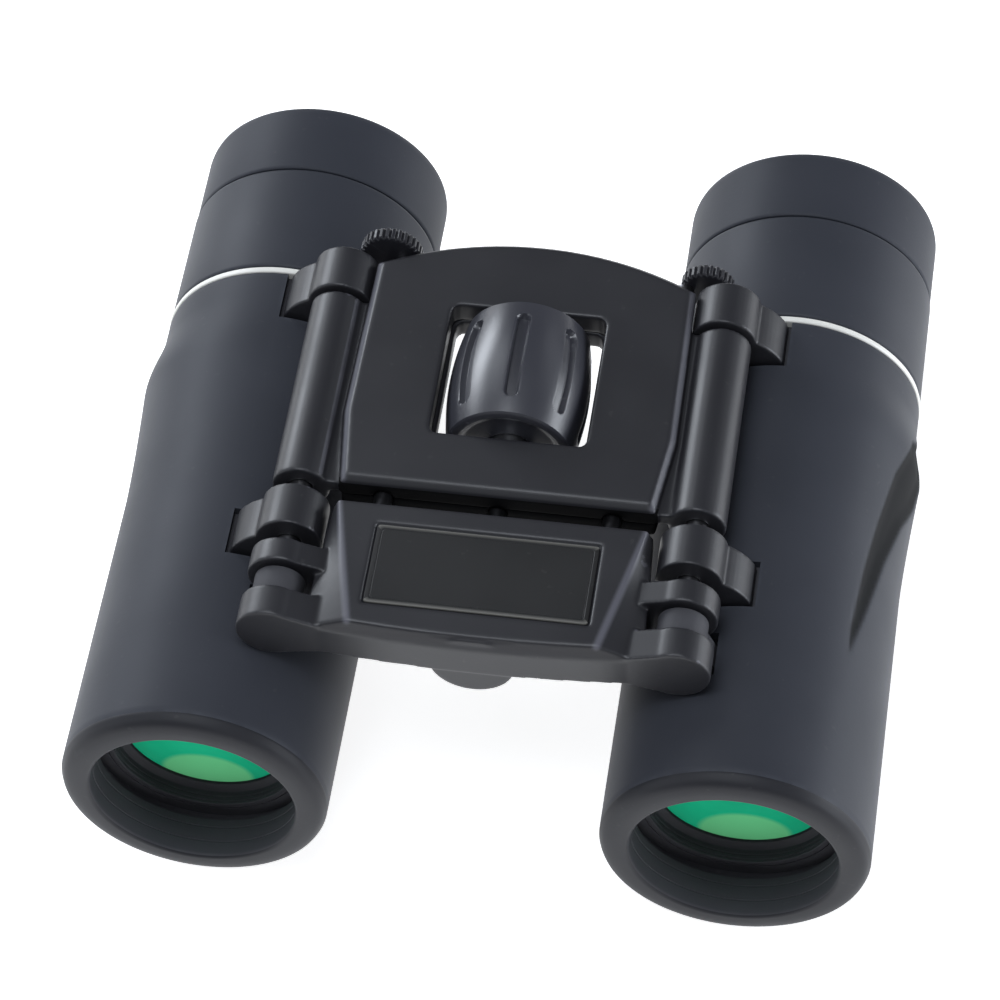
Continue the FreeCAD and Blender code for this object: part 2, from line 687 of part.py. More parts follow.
def eyepiece(name, side):
    """Cell with a field lens and an eye lens."""
    cell = new_body(name + "_eyepiece_cell", side)
    profile = [
        ("field_lens_radius - lens_seat", "eyecell_start"),
        ("ocular_bore - running_gap", "eyecell_start"),
        ("ocular_bore - running_gap", "eyecell_end"),
        ("eye_lens_radius + fit_gap", "eyecell_end"),
        ("eye_lens_radius + fit_gap", "eyecell_end - eye_pocket"),
        ("eye_lens_radius - lens_seat", "eyecell_end - eye_pocket"),
        ("eye_lens_radius - lens_seat", "eyecell_start + field_pocket_end"),
        ("field_lens_radius + fit_gap", "eyecell_start + field_pocket_end"),
        ("field_lens_radius + fit_gap", "eyecell_start + field_pocket"),
        ("field_lens_radius - lens_seat", "eyecell_start + field_pocket"),
    ]
    revolve(cell, [profile])
    eye = new_body(name + "_eye_lens", side)
    eye_profile = [
        ("0", "eyecell_end - eye_back"),
        ("eye_lens_radius", "eyecell_end - eye_back"),
        ("eye_lens_radius", "eyecell_end - eye_rim", "eye_curve", 1),
        ("0", "eyecell_end - eye_rim + " + rise_of("eye_curve", "eye_lens_radius")),
    ]
    revolve(eye, [eye_profile])
    field = new_body(name + "_field_lens", side)
    field_profile = [
        ("0", "eyecell_start + field_front"),
        ("field_lens_radius", "eyecell_start + field_front"),
        ("field_lens_radius", "eyecell_start + field_rim", "eye_curve", 1),
        ("0", "eyecell_start + field_rim + " + rise_of("eye_curve", "field_lens_radius")),
    ]
    revolve(field, [field_profile])


def eyecup(name, side):
    """Rubber cup that slides on the ocular tube."""
    body = new_body(name + "_eyecup", side)
    inner = "ocular_radius + running_gap"
    profile = [
        (inner, "eyecup_start"),
        ("eyecup_radius", "eyecup_start"),
        ("eyecup_radius", "barrel_length - eyecup_round", "eyecup_round", 1),
        ("eyecup_radius - eyecup_round", "barrel_length"),
        ("eyecup_hole", "barrel_length"),
        ("eyecup_hole", "barrel_length - eyecup_lip"),
        (inner, "barrel_length - eyecup_lip"),
    ]
    revolve(body, [profile])


# ---------------------------------------------------------------- bridge


def cover_outline():
    """Plan of both covers: bowed rear edge, sides that taper towards the front."""
    return [
        ("-cover_front_half", "cover_front"),
        ("cover_front_half", "cover_front"),
        ("cover_half", "cover_bend"),
        ("cover_rear_half", "cover_rear", "cover_rear_arc", 1),
        ("-cover_rear_half", "cover_rear"),
        ("-cover_half", "cover_bend"),
    ]


def cut_window(body, half, low, high):
    """Window of the focus wheel, with rounded corners."""
    window = box_outline("-" + half, half, "window_start", "window_end")
    pocket(body, "XY_Plane", [window], low, high)
    reach = number_of(half)
    ends = (number_of("window_start"), number_of("window_end"))

    def at_corner(box):
        upright = box.XLength < 0.01 and box.YLength < 0.01
        at_side = abs(abs(box.XMin) - reach) < 0.01
        return upright and at_side and min(abs(box.YMin - end) for end in ends) < 0.01

    bevel(body, "Fillet", "window_round", at_corner)


def cut_side_pockets(body, low, high):
    """Hollows beside the window."""
    shapes = []
    for side in (-1, 1):
        inner = "%d * pocket_inner" % side
        outer = "%d * pocket_outer" % side
        shapes.append(box_outline(inner, outer, "window_start", "window_end"))
    pocket(body, "XY_Plane", shapes, low, high)


def cut_rods(body, start, end):
    """Bores for the spindle, the two guide rods and the stems of the knurled caps."""
    pocket(body, "XZ_Plane", [("0", "wheel_z", "spindle_radius + running_gap")], start, end)
    guides = []
    for side in (-1, 1):
        guides.append(("%d * guide_x" % side, "cover_split", "guide_radius + running_gap"))
    pocket(body, "XZ_Plane", guides, start, "cover_front + guide_depth")
    stems = [
        ("-cap_stem_x", "cover_split", "stem_radius + fit_gap"),
        ("small_stem_x", "cover_split", "stem_radius + fit_gap"),
    ]
    pocket(body, "XZ_Plane", stems, "cover_rear - stem_depth", "cap_start")


def cut_knuckle_room(body, start, end):
    """Room round the knuckles of the arms."""
    knuckles = []
    for side in (-1, 1):
        knuckles.append(("%d * hinge_x" % side, "hinge_z", "knuckle_radius + free_gap"))
    pocket(body, "XZ_Plane", knuckles, start, end)


def cut_neck_room(body, start, end):
    """Room for the necks of the arms when the barrels fold in."""
    necks = []
    for side in (-1, 1):
        near = "%d * arm_clear_x" % side
        far = "%d * barrel_x" % side
        necks.append(box_outline(near, far, "cover_bottom - 1", "hinge_z - neck_room_drop"))
    pocket(body, "XZ_Plane", necks, start, end)


def top_cover():
    """Upper shell of the bridge with the two hinge rollers."""
    body = new_body("top_cover")
    pad(body, "XY_Plane", [cover_outline()], "cover_split + fit_gap", "cover_top")
    top = number_of("cover_top")
    bevel(body, "Chamfer", "cover_bevel", lambda box: box.ZMin > top - 0.01)
    rollers = []
    webs = []
    for side in (-1, 1):
        rollers.append(("%d * hinge_x" % side, "hinge_z", "roller_radius"))
        near = "%d * web_inner" % side
        far = "%d * hinge_x" % side
        webs.append(box_outline(near, far, "cover_split + fit_gap", "cover_top - web_drop"))
    pad(body, "XZ_Plane", rollers, "roller_start", "roller_end")
    pad(body, "XZ_Plane", webs, "roller_start", "roller_end")
    bores = []
    for side in (-1, 1):
        bores.append(("%d * hinge_x" % side, "hinge_z", "rod_radius + fit_gap"))
    pocket(body, "XZ_Plane", bores, "roller_start - 1", "roller_end + 1")
    cut_window(body, "window_half", "cover_split - 1", "cover_top + 1")
    cut_side_pockets(body, "cover_split - 1", "cover_top - cover_wall")
    cut_rods(body, "cover_front - 1", "spindle_end + spindle_play")
    cut_knuckle_room(body, "rear_arm_start - free_gap", "cap_end")
    cut_screws(body, "cover_split - 1", "cover_top - cover_wall + screw_tip", "screw_shank")


def bottom_cover():
    """Lower shell of the bridge."""
    body = new_body("bottom_cover")
    pad(body, "XY_Plane", [cover_outline()], "cover_bottom", "cover_split")
    bottom = number_of("cover_bottom")
    bevel(body, "Chamfer", "cover_bevel", lambda box: box.ZMax < bottom + 0.01)
    cut_window(body, "window_low_half", "cover_bottom - 1", "cover_split + 1")
    cut_side_pockets(body, "cover_bottom + cover_wall", "cover_split + 1")
    cut_rods(body, "cover_front - 1", "spindle_end + spindle_play")
    cut_knuckle_room(body, "rear_arm_start - free_gap", "cap_end")
    cut_neck_room(body, "rear_arm_start - free_gap", "cap_end")
    cut_screws(body, "cover_bottom - 1", "cover_split + 1", "screw_shank")
    cut_screws(body, "cover_bottom - 1", "cover_bottom + 1", "screw_head")


SCREW_PLACES = [
    ("-screw_front_x", "screw_front_y"),
    ("screw_front_x", "screw_front_y"),
    ("-screw_rear_x", "screw_rear_y"),
    ("screw_rear_x", "screw_rear_y"),
]


def cut_screws(body, low, high, radius):
    """Holes of the cover screws."""
    holes = [(across, along, radius + " + fit_gap") for across, along in SCREW_PLACES]
    pocket(body, "XY_Plane", holes, low, high)


def cover_screws():
    """Four screws driven from below."""
    body = new_body("cover_screws")
    heads = [(across, along, "screw_head") for across, along in SCREW_PLACES]
    shanks = [(across, along, "screw_shank") for across, along in SCREW_PLACES]
    pad(body, "XY_Plane", heads, "cover_bottom + head_sunk", "cover_bottom + head_seat")
    pad(body, "XY_Plane", shanks, "cover_bottom + head_sunk", "cover_top - cover_wall")


def hinge_rod(name, side):
    """Steel rod of one hinge, fixed in the roller, with a head behind the rear arm."""
    body = new_body(name + "_hinge_rod")
    across = "%d * hinge_x" % side
    pad(body, "XZ_Plane", [(across, "hinge_z", "rod_radius")], "rod_start", "rod_end")
    head_start = "rear_arm_end + free_gap"
    pad(body, "XZ_Plane", [(across, "hinge_z", "rod_head")], head_start, "rod_end")


def guide_rods():
    """Pair of rods that keep the slider square."""
    body = new_body("guide_rods")
    rods = [("-guide_x", "cover_split", "guide_radius"), ("guide_x", "cover_split", "guide_radius")]
    pad(body, "XZ_Plane", rods, "yoke_rear - guide_reach", "cover_front + guide_depth - fit_gap")


def knurled_caps():
    """Round knurled caps behind the bridge, one on each side."""
    for label, across, along, radius, stem in (
        ("left_knurled_cap", "-cap_x", "cap_z", "cap_radius", "-cap_stem_x"),
        ("right_knurled_cap", "small_cap_x", "small_cap_z", "small_cap_radius", "small_stem_x"),
    ):
        body = new_body(label)
        pad(body, "XZ_Plane", [(across, along, radius)], "cap_start", "cap_end")
        post = [(stem, "cover_split", "stem_radius")]
        pad(body, "XZ_Plane", post, "cover_rear - stem_depth + fit_gap", "cap_start + 1")


# ---------------------------------------------------------------- focus drive


def focus_wheel():
    """Ribbed wheel, barrel shaped, dished at both ends."""
    body = new_body("focus_wheel")
    body.setExpression("Placement.Base.z", "Sizes.barrel_radius + Sizes.wheel_z")
    profile = [
        ("spindle_radius + fit_gap", "wheel_start + wheel_recess_depth"),
        ("wheel_recess", "wheel_start + wheel_recess_depth"),
        ("wheel_recess", "wheel_start"),
        ("wheel_end_radius", "wheel_start", "wheel_crown_arc", 1),
        ("wheel_end_radius", "wheel_end"),
        ("wheel_recess", "wheel_end"),
        ("wheel_recess", "wheel_end - wheel_recess_depth"),
        ("spindle_radius + fit_gap", "wheel_end - wheel_recess_depth"),
    ]
    revolve(body, [profile])
    middle = "(wheel_start + wheel_end) / 2"
    half = "groove_width / 2"
    groove = [
        ("-" + half, middle + " - groove_half + " + half),
        (half, middle + " - groove_half + " + half),
        (half, middle + " + groove_half - " + half),
        ("-" + half, middle + " + groove_half - " + half),
    ]
    first = pocket(body, "XY_Plane", [groove], "groove_floor", "wheel_radius + 1")
    pattern = body.newObject("PartDesign::PolarPattern", "Grooves")
    pattern.Originals = [first]
    pattern.Axis = (origin_part(body, "Y_Axis"), [""])
    pattern.Angle = 360
    pattern.setExpression("Occurrences", "Sizes.groove_count")
    body.Tip = pattern
    doc.recompute()


def focus_spindle():
    """Threaded spindle that the wheel turns."""
    body = new_body("focus_spindle")
    pad(body, "XZ_Plane", [("0", "wheel_z", "spindle_radius")], "spindle_start", "spindle_end")


def wheel_washers():
    """Thrust washers between wheel and covers."""
    body = new_body("wheel_washers")
    for start, end in (
        ("window_start + washer_gap", "wheel_start + wheel_recess_depth"),
        ("wheel_end - wheel_recess_depth", "window_end - washer_gap"),
    ):
        pad(body, "XZ_Plane", [("0", "wheel_z", "washer_radius")], start, end)
    bore = [("0", "wheel_z", "spindle_radius + fit_gap")]
    pocket(body, "XZ_Plane", bore, "window_start", "window_end")


def yoke_plan(front_half, rear_half, front, rear):
    """Plan of the slider at one height: a trapezium with a bowed front edge."""
    return [
        ("-" + front_half, front, "yoke_bow", 1),
        (front_half, front),
        (rear_half, rear),
        ("-" + rear_half, rear),
    ]


def focus_yoke():
    """Slider: label block in the middle, forked ears that ride on the hinge rods."""
    body = new_body("focus_yoke")
    low = yoke_plan("yoke_front_half", "yoke_rear_half", "yoke_front", "yoke_rear")
    high = yoke_plan(
        "crest_front_half", "crest_rear_half",
        "yoke_front + crest_front_step", "yoke_rear - crest_rear_step"
    )
    pad(body, "XY_Plane", [low], "yoke_bottom", "yoke_shoulder")
    loft(body, [("XY_Plane", [low], "yoke_shoulder"), ("XY_Plane", [high], "yoke_top")])
    for start, end in (
        ("ear_front_start", "ear_front_end"),
        ("ear_rear_start", "ear_rear_end"),
    ):
        for side in (-1, 1):
            across = "%d * hinge_x" % side
            pad(body, "XZ_Plane", [(across, "hinge_z", "ear_radius")], start, end)
            web = [
                ("%d * ear_root" % side, "yoke_bottom"),
                (across, "hinge_z - ear_radius"),
                (across, "hinge_z + ear_radius"),
                ("%d * ear_root" % side, "yoke_shoulder + ear_rise"),
            ]
            pad(body, "XZ_Plane", [web], start, end)
    lobe_start = "yoke_front - lobe_proud"
    pad(body, "XZ_Plane", [("0", "lobe_z", "lobe_radius")], lobe_start, "yoke_front + lobe_depth")
    upper = box_outline("-lobe_radius", "lobe_radius", "yoke_top - label_depth", "yoke_top + 1")
    pocket(body, "XZ_Plane", [upper], "yoke_front - 1", "yoke_front - lobe_step")
    cavity = box_outline(
        "-cavity_half", "cavity_half", "yoke_front + front_wall", "yoke_rear - rear_wall"
    )
    pocket(body, "XY_Plane", [cavity], "yoke_bottom - 1", "yoke_top - roof_wall")
    for side in (-1, 1):
        bore = [("%d * hinge_x" % side, "hinge_z", "rod_radius + running_gap")]
        pocket(body, "XZ_Plane", bore, "ear_front_start + ear_face", "ear_rear_end + 1")
    cut_yoke_bores(body)
    disc_room = [("nose_disc_x", "nose_disc_z", "nose_disc_radius + fit_gap")]
    room_start = "yoke_front + disc_start - fit_gap"
    pocket(body, "XZ_Plane", disc_room, room_start, "yoke_front + disc_end + free_gap")
    cut_neck_room(body, "ear_rear_end", "yoke_rear + 1")
    label = box_outline(
        "-label_half - label_gap", "label_half + label_gap",
        "label_start - label_gap", "label_end + label_gap"
    )
    pocket(body, "XY_Plane", [label], "yoke_top - label_depth", "yoke_top + 1")


def cut_yoke_bores(body):
    """Bores for the guide rods and a free hole for the spindle in the slider's rear wall."""
    guides = []
    for side in (-1, 1):
        guides.append(("%d * guide_x" % side, "cover_split", "guide_radius + running_gap"))
    rear = "yoke_rear + 1"
    pocket(body, "XZ_Plane", guides, "yoke_rear - bore_depth", rear)
    spindle = [("0", "wheel_z", "spindle_radius + spindle_play")]
    pocket(body, "XZ_Plane", spindle, "yoke_rear - bore_depth", rear)


def yoke_base():
    """Thin plate that closes the slider from below."""
    body = new_body("yoke_base")
    plate = box_outline(
        "-cavity_half + fit_gap", "cavity_half - fit_gap",
        "yoke_front + front_wall + fit_gap", "yoke_rear - rear_wall - fit_gap"
    )
    pad(body, "XY_Plane", [plate], "yoke_bottom", "base_top")


def yoke_nut():
    """Brass nut that the spindle drives."""
    body = new_body("yoke_nut")
    block = box_outline(
        "-nut_half", "nut_half", "base_top + fit_gap", "yoke_top - roof_wall - fit_gap"
    )
    back = "yoke_rear - rear_wall - fit_gap"
    pad(body, "XZ_Plane", [block], back + " - nut_length", back)
    bore = [("0", "wheel_z", "spindle_radius + running_gap")]
    pocket(body, "XZ_Plane", bore, back + " - nut_length - 1", "yoke_rear")


def label_plate():
    """Blank plate set into the slider."""
    body = new_body("label_plate")
    plate = box_outline("-label_half", "label_half", "label_start", "label_end")
    pad(body, "XY_Plane", [plate], "yoke_top - label_depth", "yoke_top - label_sunk")


def nose_disc():
    """Knurled disc whose edge shows under the slider's nose."""
    body = new_body("nose_disc")
    disc = [("nose_disc_x", "nose_disc_z", "nose_disc_radius")]
    pad(body, "XZ_Plane", disc, "yoke_front + disc_start", "yoke_front + disc_end")


# ---------------------------------------------------------------- assembly

for side_name, side_sign in SIDES.items():
    barrel_sleeve(side_name, side_sign)
    barrel_tube(side_name, side_sign)
    front_bezel(side_name, side_sign)
    objective_cell(side_name, side_sign)
    retaining_ring(side_name, side_sign)
    objective_lenses(side_name, side_sign)
    prism_set(side_name, side_sign)
    ocular_tube(side_name, side_sign)
    field_stop(side_name, side_sign)
    white_ring(side_name, side_sign)
    eyepiece(side_name, side_sign)
    eyecup(side_name, side_sign)
    hinge_rod(side_name, side_sign)
rear_ring("left_rear_ring", -1)
rear_ring("right_dioptre_ring", 1)
top_cover()
bottom_cover()
cover_screws()
guide_rods()
knurled_caps()
focus_wheel()
focus_spindle()
wheel_washers()
focus_yoke()
yoke_base()
yoke_nut()
label_plate()
nose_disc()
doc.recompute()

for item in doc.Objects:
    if "Invalid" in item.State or "Error" in item.State:
        raise RuntimeError("%s did not compute: %s" % (item.Label, item.State))
for body in BODIES:
    if body.Shape.isNull() or not body.Shape.isValid() or not body.Shape.Solids:
        raise RuntimeError("%s has no valid solid" % body.Label)
for body in BODIES:
    body.Shape.exportStep("parts/%s.step" % body.Label)
print("%d parts written" % len(BODIES))
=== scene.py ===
import math

import bmesh
import bpy
import numpy as np
from mathutils import Matrix, Vector


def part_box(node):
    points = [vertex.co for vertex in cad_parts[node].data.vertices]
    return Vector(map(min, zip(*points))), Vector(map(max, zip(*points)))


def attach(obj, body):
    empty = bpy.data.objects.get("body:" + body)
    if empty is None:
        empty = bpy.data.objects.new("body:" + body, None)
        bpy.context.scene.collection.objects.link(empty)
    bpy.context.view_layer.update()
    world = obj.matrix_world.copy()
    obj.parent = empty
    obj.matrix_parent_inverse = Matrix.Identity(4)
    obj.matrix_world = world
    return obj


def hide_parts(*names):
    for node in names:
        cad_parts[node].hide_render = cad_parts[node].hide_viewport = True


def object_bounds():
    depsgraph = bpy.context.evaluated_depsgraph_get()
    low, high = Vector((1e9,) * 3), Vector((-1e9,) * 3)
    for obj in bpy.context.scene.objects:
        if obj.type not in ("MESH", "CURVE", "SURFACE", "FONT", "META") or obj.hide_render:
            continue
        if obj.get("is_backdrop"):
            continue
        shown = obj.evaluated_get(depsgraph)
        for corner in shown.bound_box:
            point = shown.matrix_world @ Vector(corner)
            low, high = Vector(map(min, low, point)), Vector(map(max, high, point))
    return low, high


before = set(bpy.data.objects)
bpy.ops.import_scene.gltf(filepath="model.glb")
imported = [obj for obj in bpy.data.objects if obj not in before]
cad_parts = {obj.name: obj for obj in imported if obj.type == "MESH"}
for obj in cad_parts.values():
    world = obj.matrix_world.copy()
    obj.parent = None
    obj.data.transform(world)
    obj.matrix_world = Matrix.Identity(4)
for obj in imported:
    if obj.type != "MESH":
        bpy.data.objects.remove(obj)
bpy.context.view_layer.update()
SIDES = (("left", -1), ("right", 1))


# ---- barrel skins -------------------------------------------------------------------------------
# Each barrel wears a sleeve with a soft, blue-grey painted skin, slid over the inner tube from the
# front. The arms and the objective's finger pass through slots in its inner upper side. A low bump
# on the outer side gives the fingers a hold, and on the right barrel a tapering scoop runs from it.

bezel_low, bezel_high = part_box("right_front_bezel")
FRONT = bezel_low.y
BARREL_X = (bezel_low.x + bezel_high.x) / 2 * 1000
AXIS_Z = (bezel_low.z + bezel_high.z) / 2
BARREL_RADIUS = 17.5
HINGE_X = 26.0
HINGE_Z = 20.5
LEAN = math.atan2(BARREL_X - HINGE_X, HINGE_Z)


def placed(x, y, z):
    """Millimetres from the middle plane, the objective face and the barrel axes, to the frame's metres."""
    return (x / 1000, FRONT + y / 1000, AXIS_Z + z / 1000)


def finished(name, points, faces, material, sharp=35, values=None):
    """Closed mesh object in the frame, with its normals outward and its hard edges kept crisp."""
    mesh = bpy.data.meshes.new(name)
    mesh.from_pydata([placed(*point) for point in points], [], faces)
    for label, numbers in (values or {}).items():
        layer = mesh.attributes.new(label, "FLOAT", "POINT")
        layer.data.foreach_set("value", numbers)
    shape = bmesh.new()
    shape.from_mesh(mesh)
    loose = [corner for corner in shape.verts if not corner.link_faces]
    bmesh.ops.delete(shape, geom=loose, context="VERTS")
    bmesh.ops.recalc_face_normals(shape, faces=shape.faces)
    shape.to_mesh(mesh)
    shape.free()
    mesh.polygons.foreach_set("use_smooth", [True] * len(mesh.polygons))
    mesh.set_sharp_from_angle(angle=math.radians(sharp))
    mesh.materials.append(material)
    thing = bpy.data.objects.new(name, mesh)
    bpy.context.scene.collection.objects.link(thing)
    return thing


def calc(tree, operation, *values):
    """Math node; each value is a number or a socket."""
    node = tree.nodes.new("ShaderNodeMath")
    node.operation = operation
    for index, value in enumerate(values):
        if isinstance(value, bpy.types.NodeSocket):
            tree.links.new(value, node.inputs[index])
        else:
            node.inputs[index].default_value = value
    return node.outputs[0]


def blended(tree, share, first, second):
    """Colour between two colours, each a tuple or a socket."""
    node = tree.nodes.new("ShaderNodeMix")
    node.data_type = "RGBA"
    tree.links.new(share, node.inputs[0])
    for index, value in ((6, first), (7, second)):
        if isinstance(value, bpy.types.NodeSocket):
            tree.links.new(value, node.inputs[index])
        else:
            node.inputs[index].default_value = (*value, 1)
    return node.outputs[2]


def new_group(name, kind, inputs, outputs):
    """Node group with named sockets."""
    tree = bpy.data.node_groups.new(name, kind)
    for label, socket, value in inputs:
        made = tree.interface.new_socket(label, in_out="INPUT", socket_type=socket)
        if value is not None:
            made.default_value = value
    for label, socket in outputs:
        tree.interface.new_socket(label, in_out="OUTPUT", socket_type=socket)
    return tree, tree.nodes.new("NodeGroupInput"), tree.nodes.new("NodeGroupOutput")


def noise(tree, where, scale, detail):
    """Noise texture on a position; scale is a number or a socket."""
    node = tree.nodes.new("ShaderNodeTexNoise")
    node.inputs["Detail"].default_value = detail
    tree.links.new(where, node.inputs["Vector"])
    if isinstance(scale, bpy.types.NodeSocket):
        tree.links.new(scale, node.inputs["Scale"])
    else:
        node.inputs["Scale"].default_value = scale
    return node.outputs["Fac"]


def stepped(tree, value, low, high):
    """Smooth step of a value from 0 at low to 1 at high."""
    node = tree.nodes.new("ShaderNodeMapRange")
    node.interpolation_type = "SMOOTHSTEP"
    tree.links.new(value, node.inputs["Value"])
    for label, edge in (("From Min", low), ("From Max", high)):
        if isinstance(edge, bpy.types.NodeSocket):
            tree.links.new(edge, node.inputs[label])
        else:
            node.inputs[label].default_value = edge
    return node.outputs["Result"]


grain_group, grain_in, grain_out = new_group(
    "fine_grain", "ShaderNodeTree",
    [("Grains per metre", "NodeSocketFloat", 2500.0), ("Mottle per metre", "NodeSocketFloat", 60.0)],
    [("Height", "NodeSocketFloat"), ("Mottle", "NodeSocketFloat")],
)
grain_place = grain_group.nodes.new("ShaderNodeTexCoord").outputs["Object"]
grain_fine = noise(grain_group, grain_place, grain_in.outputs["Grains per metre"], 2.0)
grain_broad = noise(grain_group, grain_place, grain_in.outputs["Mottle per metre"], 5.0)
grain_group.links.new(grain_fine, grain_out.inputs["Height"])
grain_group.links.new(stepped(grain_group, grain_broad, 0.3, 0.7), grain_out.inputs["Mottle"])

# Edge masks: Mask is rubbed wear, broken by noise; Edge is an unbroken band on sharp edges, used as a painted
# highlight.
wear_and_highlight_group, wear_and_highlight_in, wear_and_highlight_out = new_group(
    "edge_wear", "ShaderNodeTree",
    [("Edge from", "NodeSocketFloat", 0.52), ("Edge to", "NodeSocketFloat", 0.62),
     ("Breaks per metre", "NodeSocketFloat", 350.0)],
    [("Mask", "NodeSocketFloat"), ("Edge", "NodeSocketFloat")],
)
wear_and_highlight_edge = wear_and_highlight_group.nodes.new("ShaderNodeNewGeometry").outputs["Pointiness"]
wear_place = wear_and_highlight_group.nodes.new("ShaderNodeTexCoord").outputs["Object"]
wear_broken = noise(wear_and_highlight_group, wear_place, wear_and_highlight_in.outputs["Breaks per metre"], 4.0)
wear_and_highlight_band = stepped(wear_and_highlight_group, wear_and_highlight_edge, wear_and_highlight_in.outputs["Edge from"], wear_and_highlight_in.outputs["Edge to"])
wear_mask = calc(wear_and_highlight_group, "MULTIPLY", wear_and_highlight_band, stepped(wear_and_highlight_group, wear_broken, 0.35, 0.6))
wear_and_highlight_group.links.new(wear_mask, wear_and_highlight_out.inputs["Mask"])
wear_and_highlight_group.links.new(wear_and_highlight_band, wear_and_highlight_out.inputs["Edge"])

touch_group, touch_in, touch_out = new_group(
    "handling", "ShaderNodeTree",
    [("Smears per metre", "NodeSocketFloat", 45.0), ("Specks per metre", "NodeSocketFloat", 900.0)],
    [("Smear", "NodeSocketFloat"), ("Dust", "NodeSocketFloat")],
)
touch_place = touch_group.nodes.new("ShaderNodeTexCoord").outputs["Object"]
touch_smear = noise(touch_group, touch_place, touch_in.outputs["Smears per metre"], 6.0)
touch_specks = noise(touch_group, touch_place, touch_in.outputs["Specks per metre"], 1.0)
touch_group.links.new(stepped(touch_group, touch_smear, 0.35, 0.7), touch_out.inputs["Smear"])
touch_group.links.new(stepped(touch_group, touch_specks, 0.72, 0.8), touch_out.inputs["Dust"])


def placed_group(tree, group, **values):
    """Group node in a material, with its own values; an underscore in a name stands for a space."""
    node = tree.nodes.new("ShaderNodeGroup")
    node.node_tree = group
    for label, value in values.items():
        node.inputs[label.replace("_", " ")].default_value = value
    return node.outputs


def surface(name, colour, second, wear_and_highlight_colour, roughness, spread, grains=2500.0, relief=12e-6, wear=0.5,
            dust=0.15, metallic=0.0, specular=0.5, coat=0.0, smears=45.0, painted_glint=0.0):
    """Moulded, painted or metal surface with grain, mottle, rubbed edges, smears and dust, and with painted
    highlights on sharp edges and on marked edge lines.
    """
    material = bpy.data.materials.new(name)
    material.use_nodes = True
    tree = material.node_tree
    shader = tree.nodes["Principled BSDF"]
    shader.inputs["Metallic"].default_value = metallic
    shader.inputs["Specular IOR Level"].default_value = specular
    shader.inputs["Coat Weight"].default_value = coat
    shader.inputs["Coat Roughness"].default_value = 0.12
    grain = placed_group(tree, grain_group, Grains_per_metre=grains)
    wear_and_highlight_masks = placed_group(tree, wear_and_highlight_group)
    touched = placed_group(tree, touch_group, Smears_per_metre=smears)
    plain = blended(tree, grain["Mottle"], colour, second)
    # Painted highlight: sharp edges are lightened towards the wear colour by the glint share, standing in for
    # light caught by their rounding.
    rounded = blended(tree, calc(tree, "MULTIPLY", wear_and_highlight_masks["Edge"], painted_glint), plain, wear_and_highlight_colour)
    edged = blended(tree, calc(tree, "MULTIPLY", wear_and_highlight_masks["Mask"], wear), rounded, wear_and_highlight_colour)
    # Painted highlight along the edge lines marked in the mesh attribute.
    highlight_attribute = tree.nodes.new("ShaderNodeAttribute")
    highlight_attribute.attribute_name = "edge_line"
    highlighted_edges = blended(tree, highlight_attribute.outputs["Fac"], edged, wear_and_highlight_colour)
    dusty = blended(tree, calc(tree, "MULTIPLY", touched["Dust"], dust), highlighted_edges, (0.3, 0.29, 0.27))
    tree.links.new(dusty, shader.inputs["Base Color"])
    matt = calc(tree, "MULTIPLY_ADD", touched["Smear"], spread, roughness)
    tree.links.new(matt, shader.inputs["Roughness"])
    bump = tree.nodes.new("ShaderNodeBump")
    bump.inputs["Distance"].default_value = relief
    bump.inputs["Strength"].default_value = 1.0
    tree.links.new(grain["Height"], bump.inputs["Height"])
    tree.links.new(bump.outputs["Normal"], shader.inputs["Normal"])
    return material


skin = surface("barrel_skin", (0.043, 0.046, 0.057), (0.038, 0.041, 0.051), (0.08, 0.086, 0.105),
               0.48, 0.06, grains=3200.0, relief=8e-6, wear=0.4, dust=0.03, specular=0.2)
skin_tree = skin.node_tree
skin_shader = skin_tree.nodes["Principled BSDF"]
scoop_share = skin_tree.nodes.new("ShaderNodeAttribute")
scoop_share.attribute_name = "scoop"
skin_plain = skin_shader.inputs["Base Color"].links[0].from_socket
skin_scooped = blended(skin_tree, scoop_share.outputs["Fac"], skin_plain, (0.018, 0.0185, 0.0195))
skin_tree.links.new(skin_scooped, skin_shader.inputs["Base Color"])
skin_matt = skin_shader.inputs["Roughness"].links[0].from_socket
skin_rough = calc(skin_tree, "MULTIPLY_ADD", scoop_share.outputs["Fac"], 0.42, skin_matt)
skin_tree.links.new(skin_rough, skin_shader.inputs["Roughness"])

SCOOP = [(65, 68), (57.2, 57.2), (47.5, 50.5), (38.9, 45.5), (28.9, 41.7), (24.2, 42.3), (31.7, 50),
         (42.4, 60.1), (50.9, 71.3), (56.7, 83.9), (63.6, 93), (69.8, 92)]


def inside_scoop(along, turn):
    """Distance inside the scoop's outline, for places along the barrel and angles from its top."""
    corners = np.array([(BARREL_RADIUS * math.radians(angle), y) for y, angle in SCOOP])
    place = np.stack([BARREL_RADIUS * turn, along], -1)
    nearest = np.full(turn.shape, 1e9)
    inside = np.zeros(turn.shape, bool)
    for index, first in enumerate(corners):
        second = corners[(index + 1) % len(corners)]
        edge = second - first
        share = np.clip(((place - first) @ edge) / (edge @ edge), 0, 1)
        gap = np.linalg.norm(place - first - share[..., None] * edge, axis=-1)
        nearest = np.minimum(nearest, gap)
        crosses = (first[1] > along) != (second[1] > along)
        rise = second[1] - first[1] if abs(second[1] - first[1]) > 1e-9 else 1e-9
        inside ^= crosses & (place[..., 0] < first[0] + (along - first[1]) / rise * edge[0])
    return np.where(inside, nearest, -nearest)


BUMP_START = 43.0
BUMP_CREST = 62.5
BUMP_END = 71.0
BUMP_HEIGHT = 1.15
SCOOP_DEPTH = 0.55


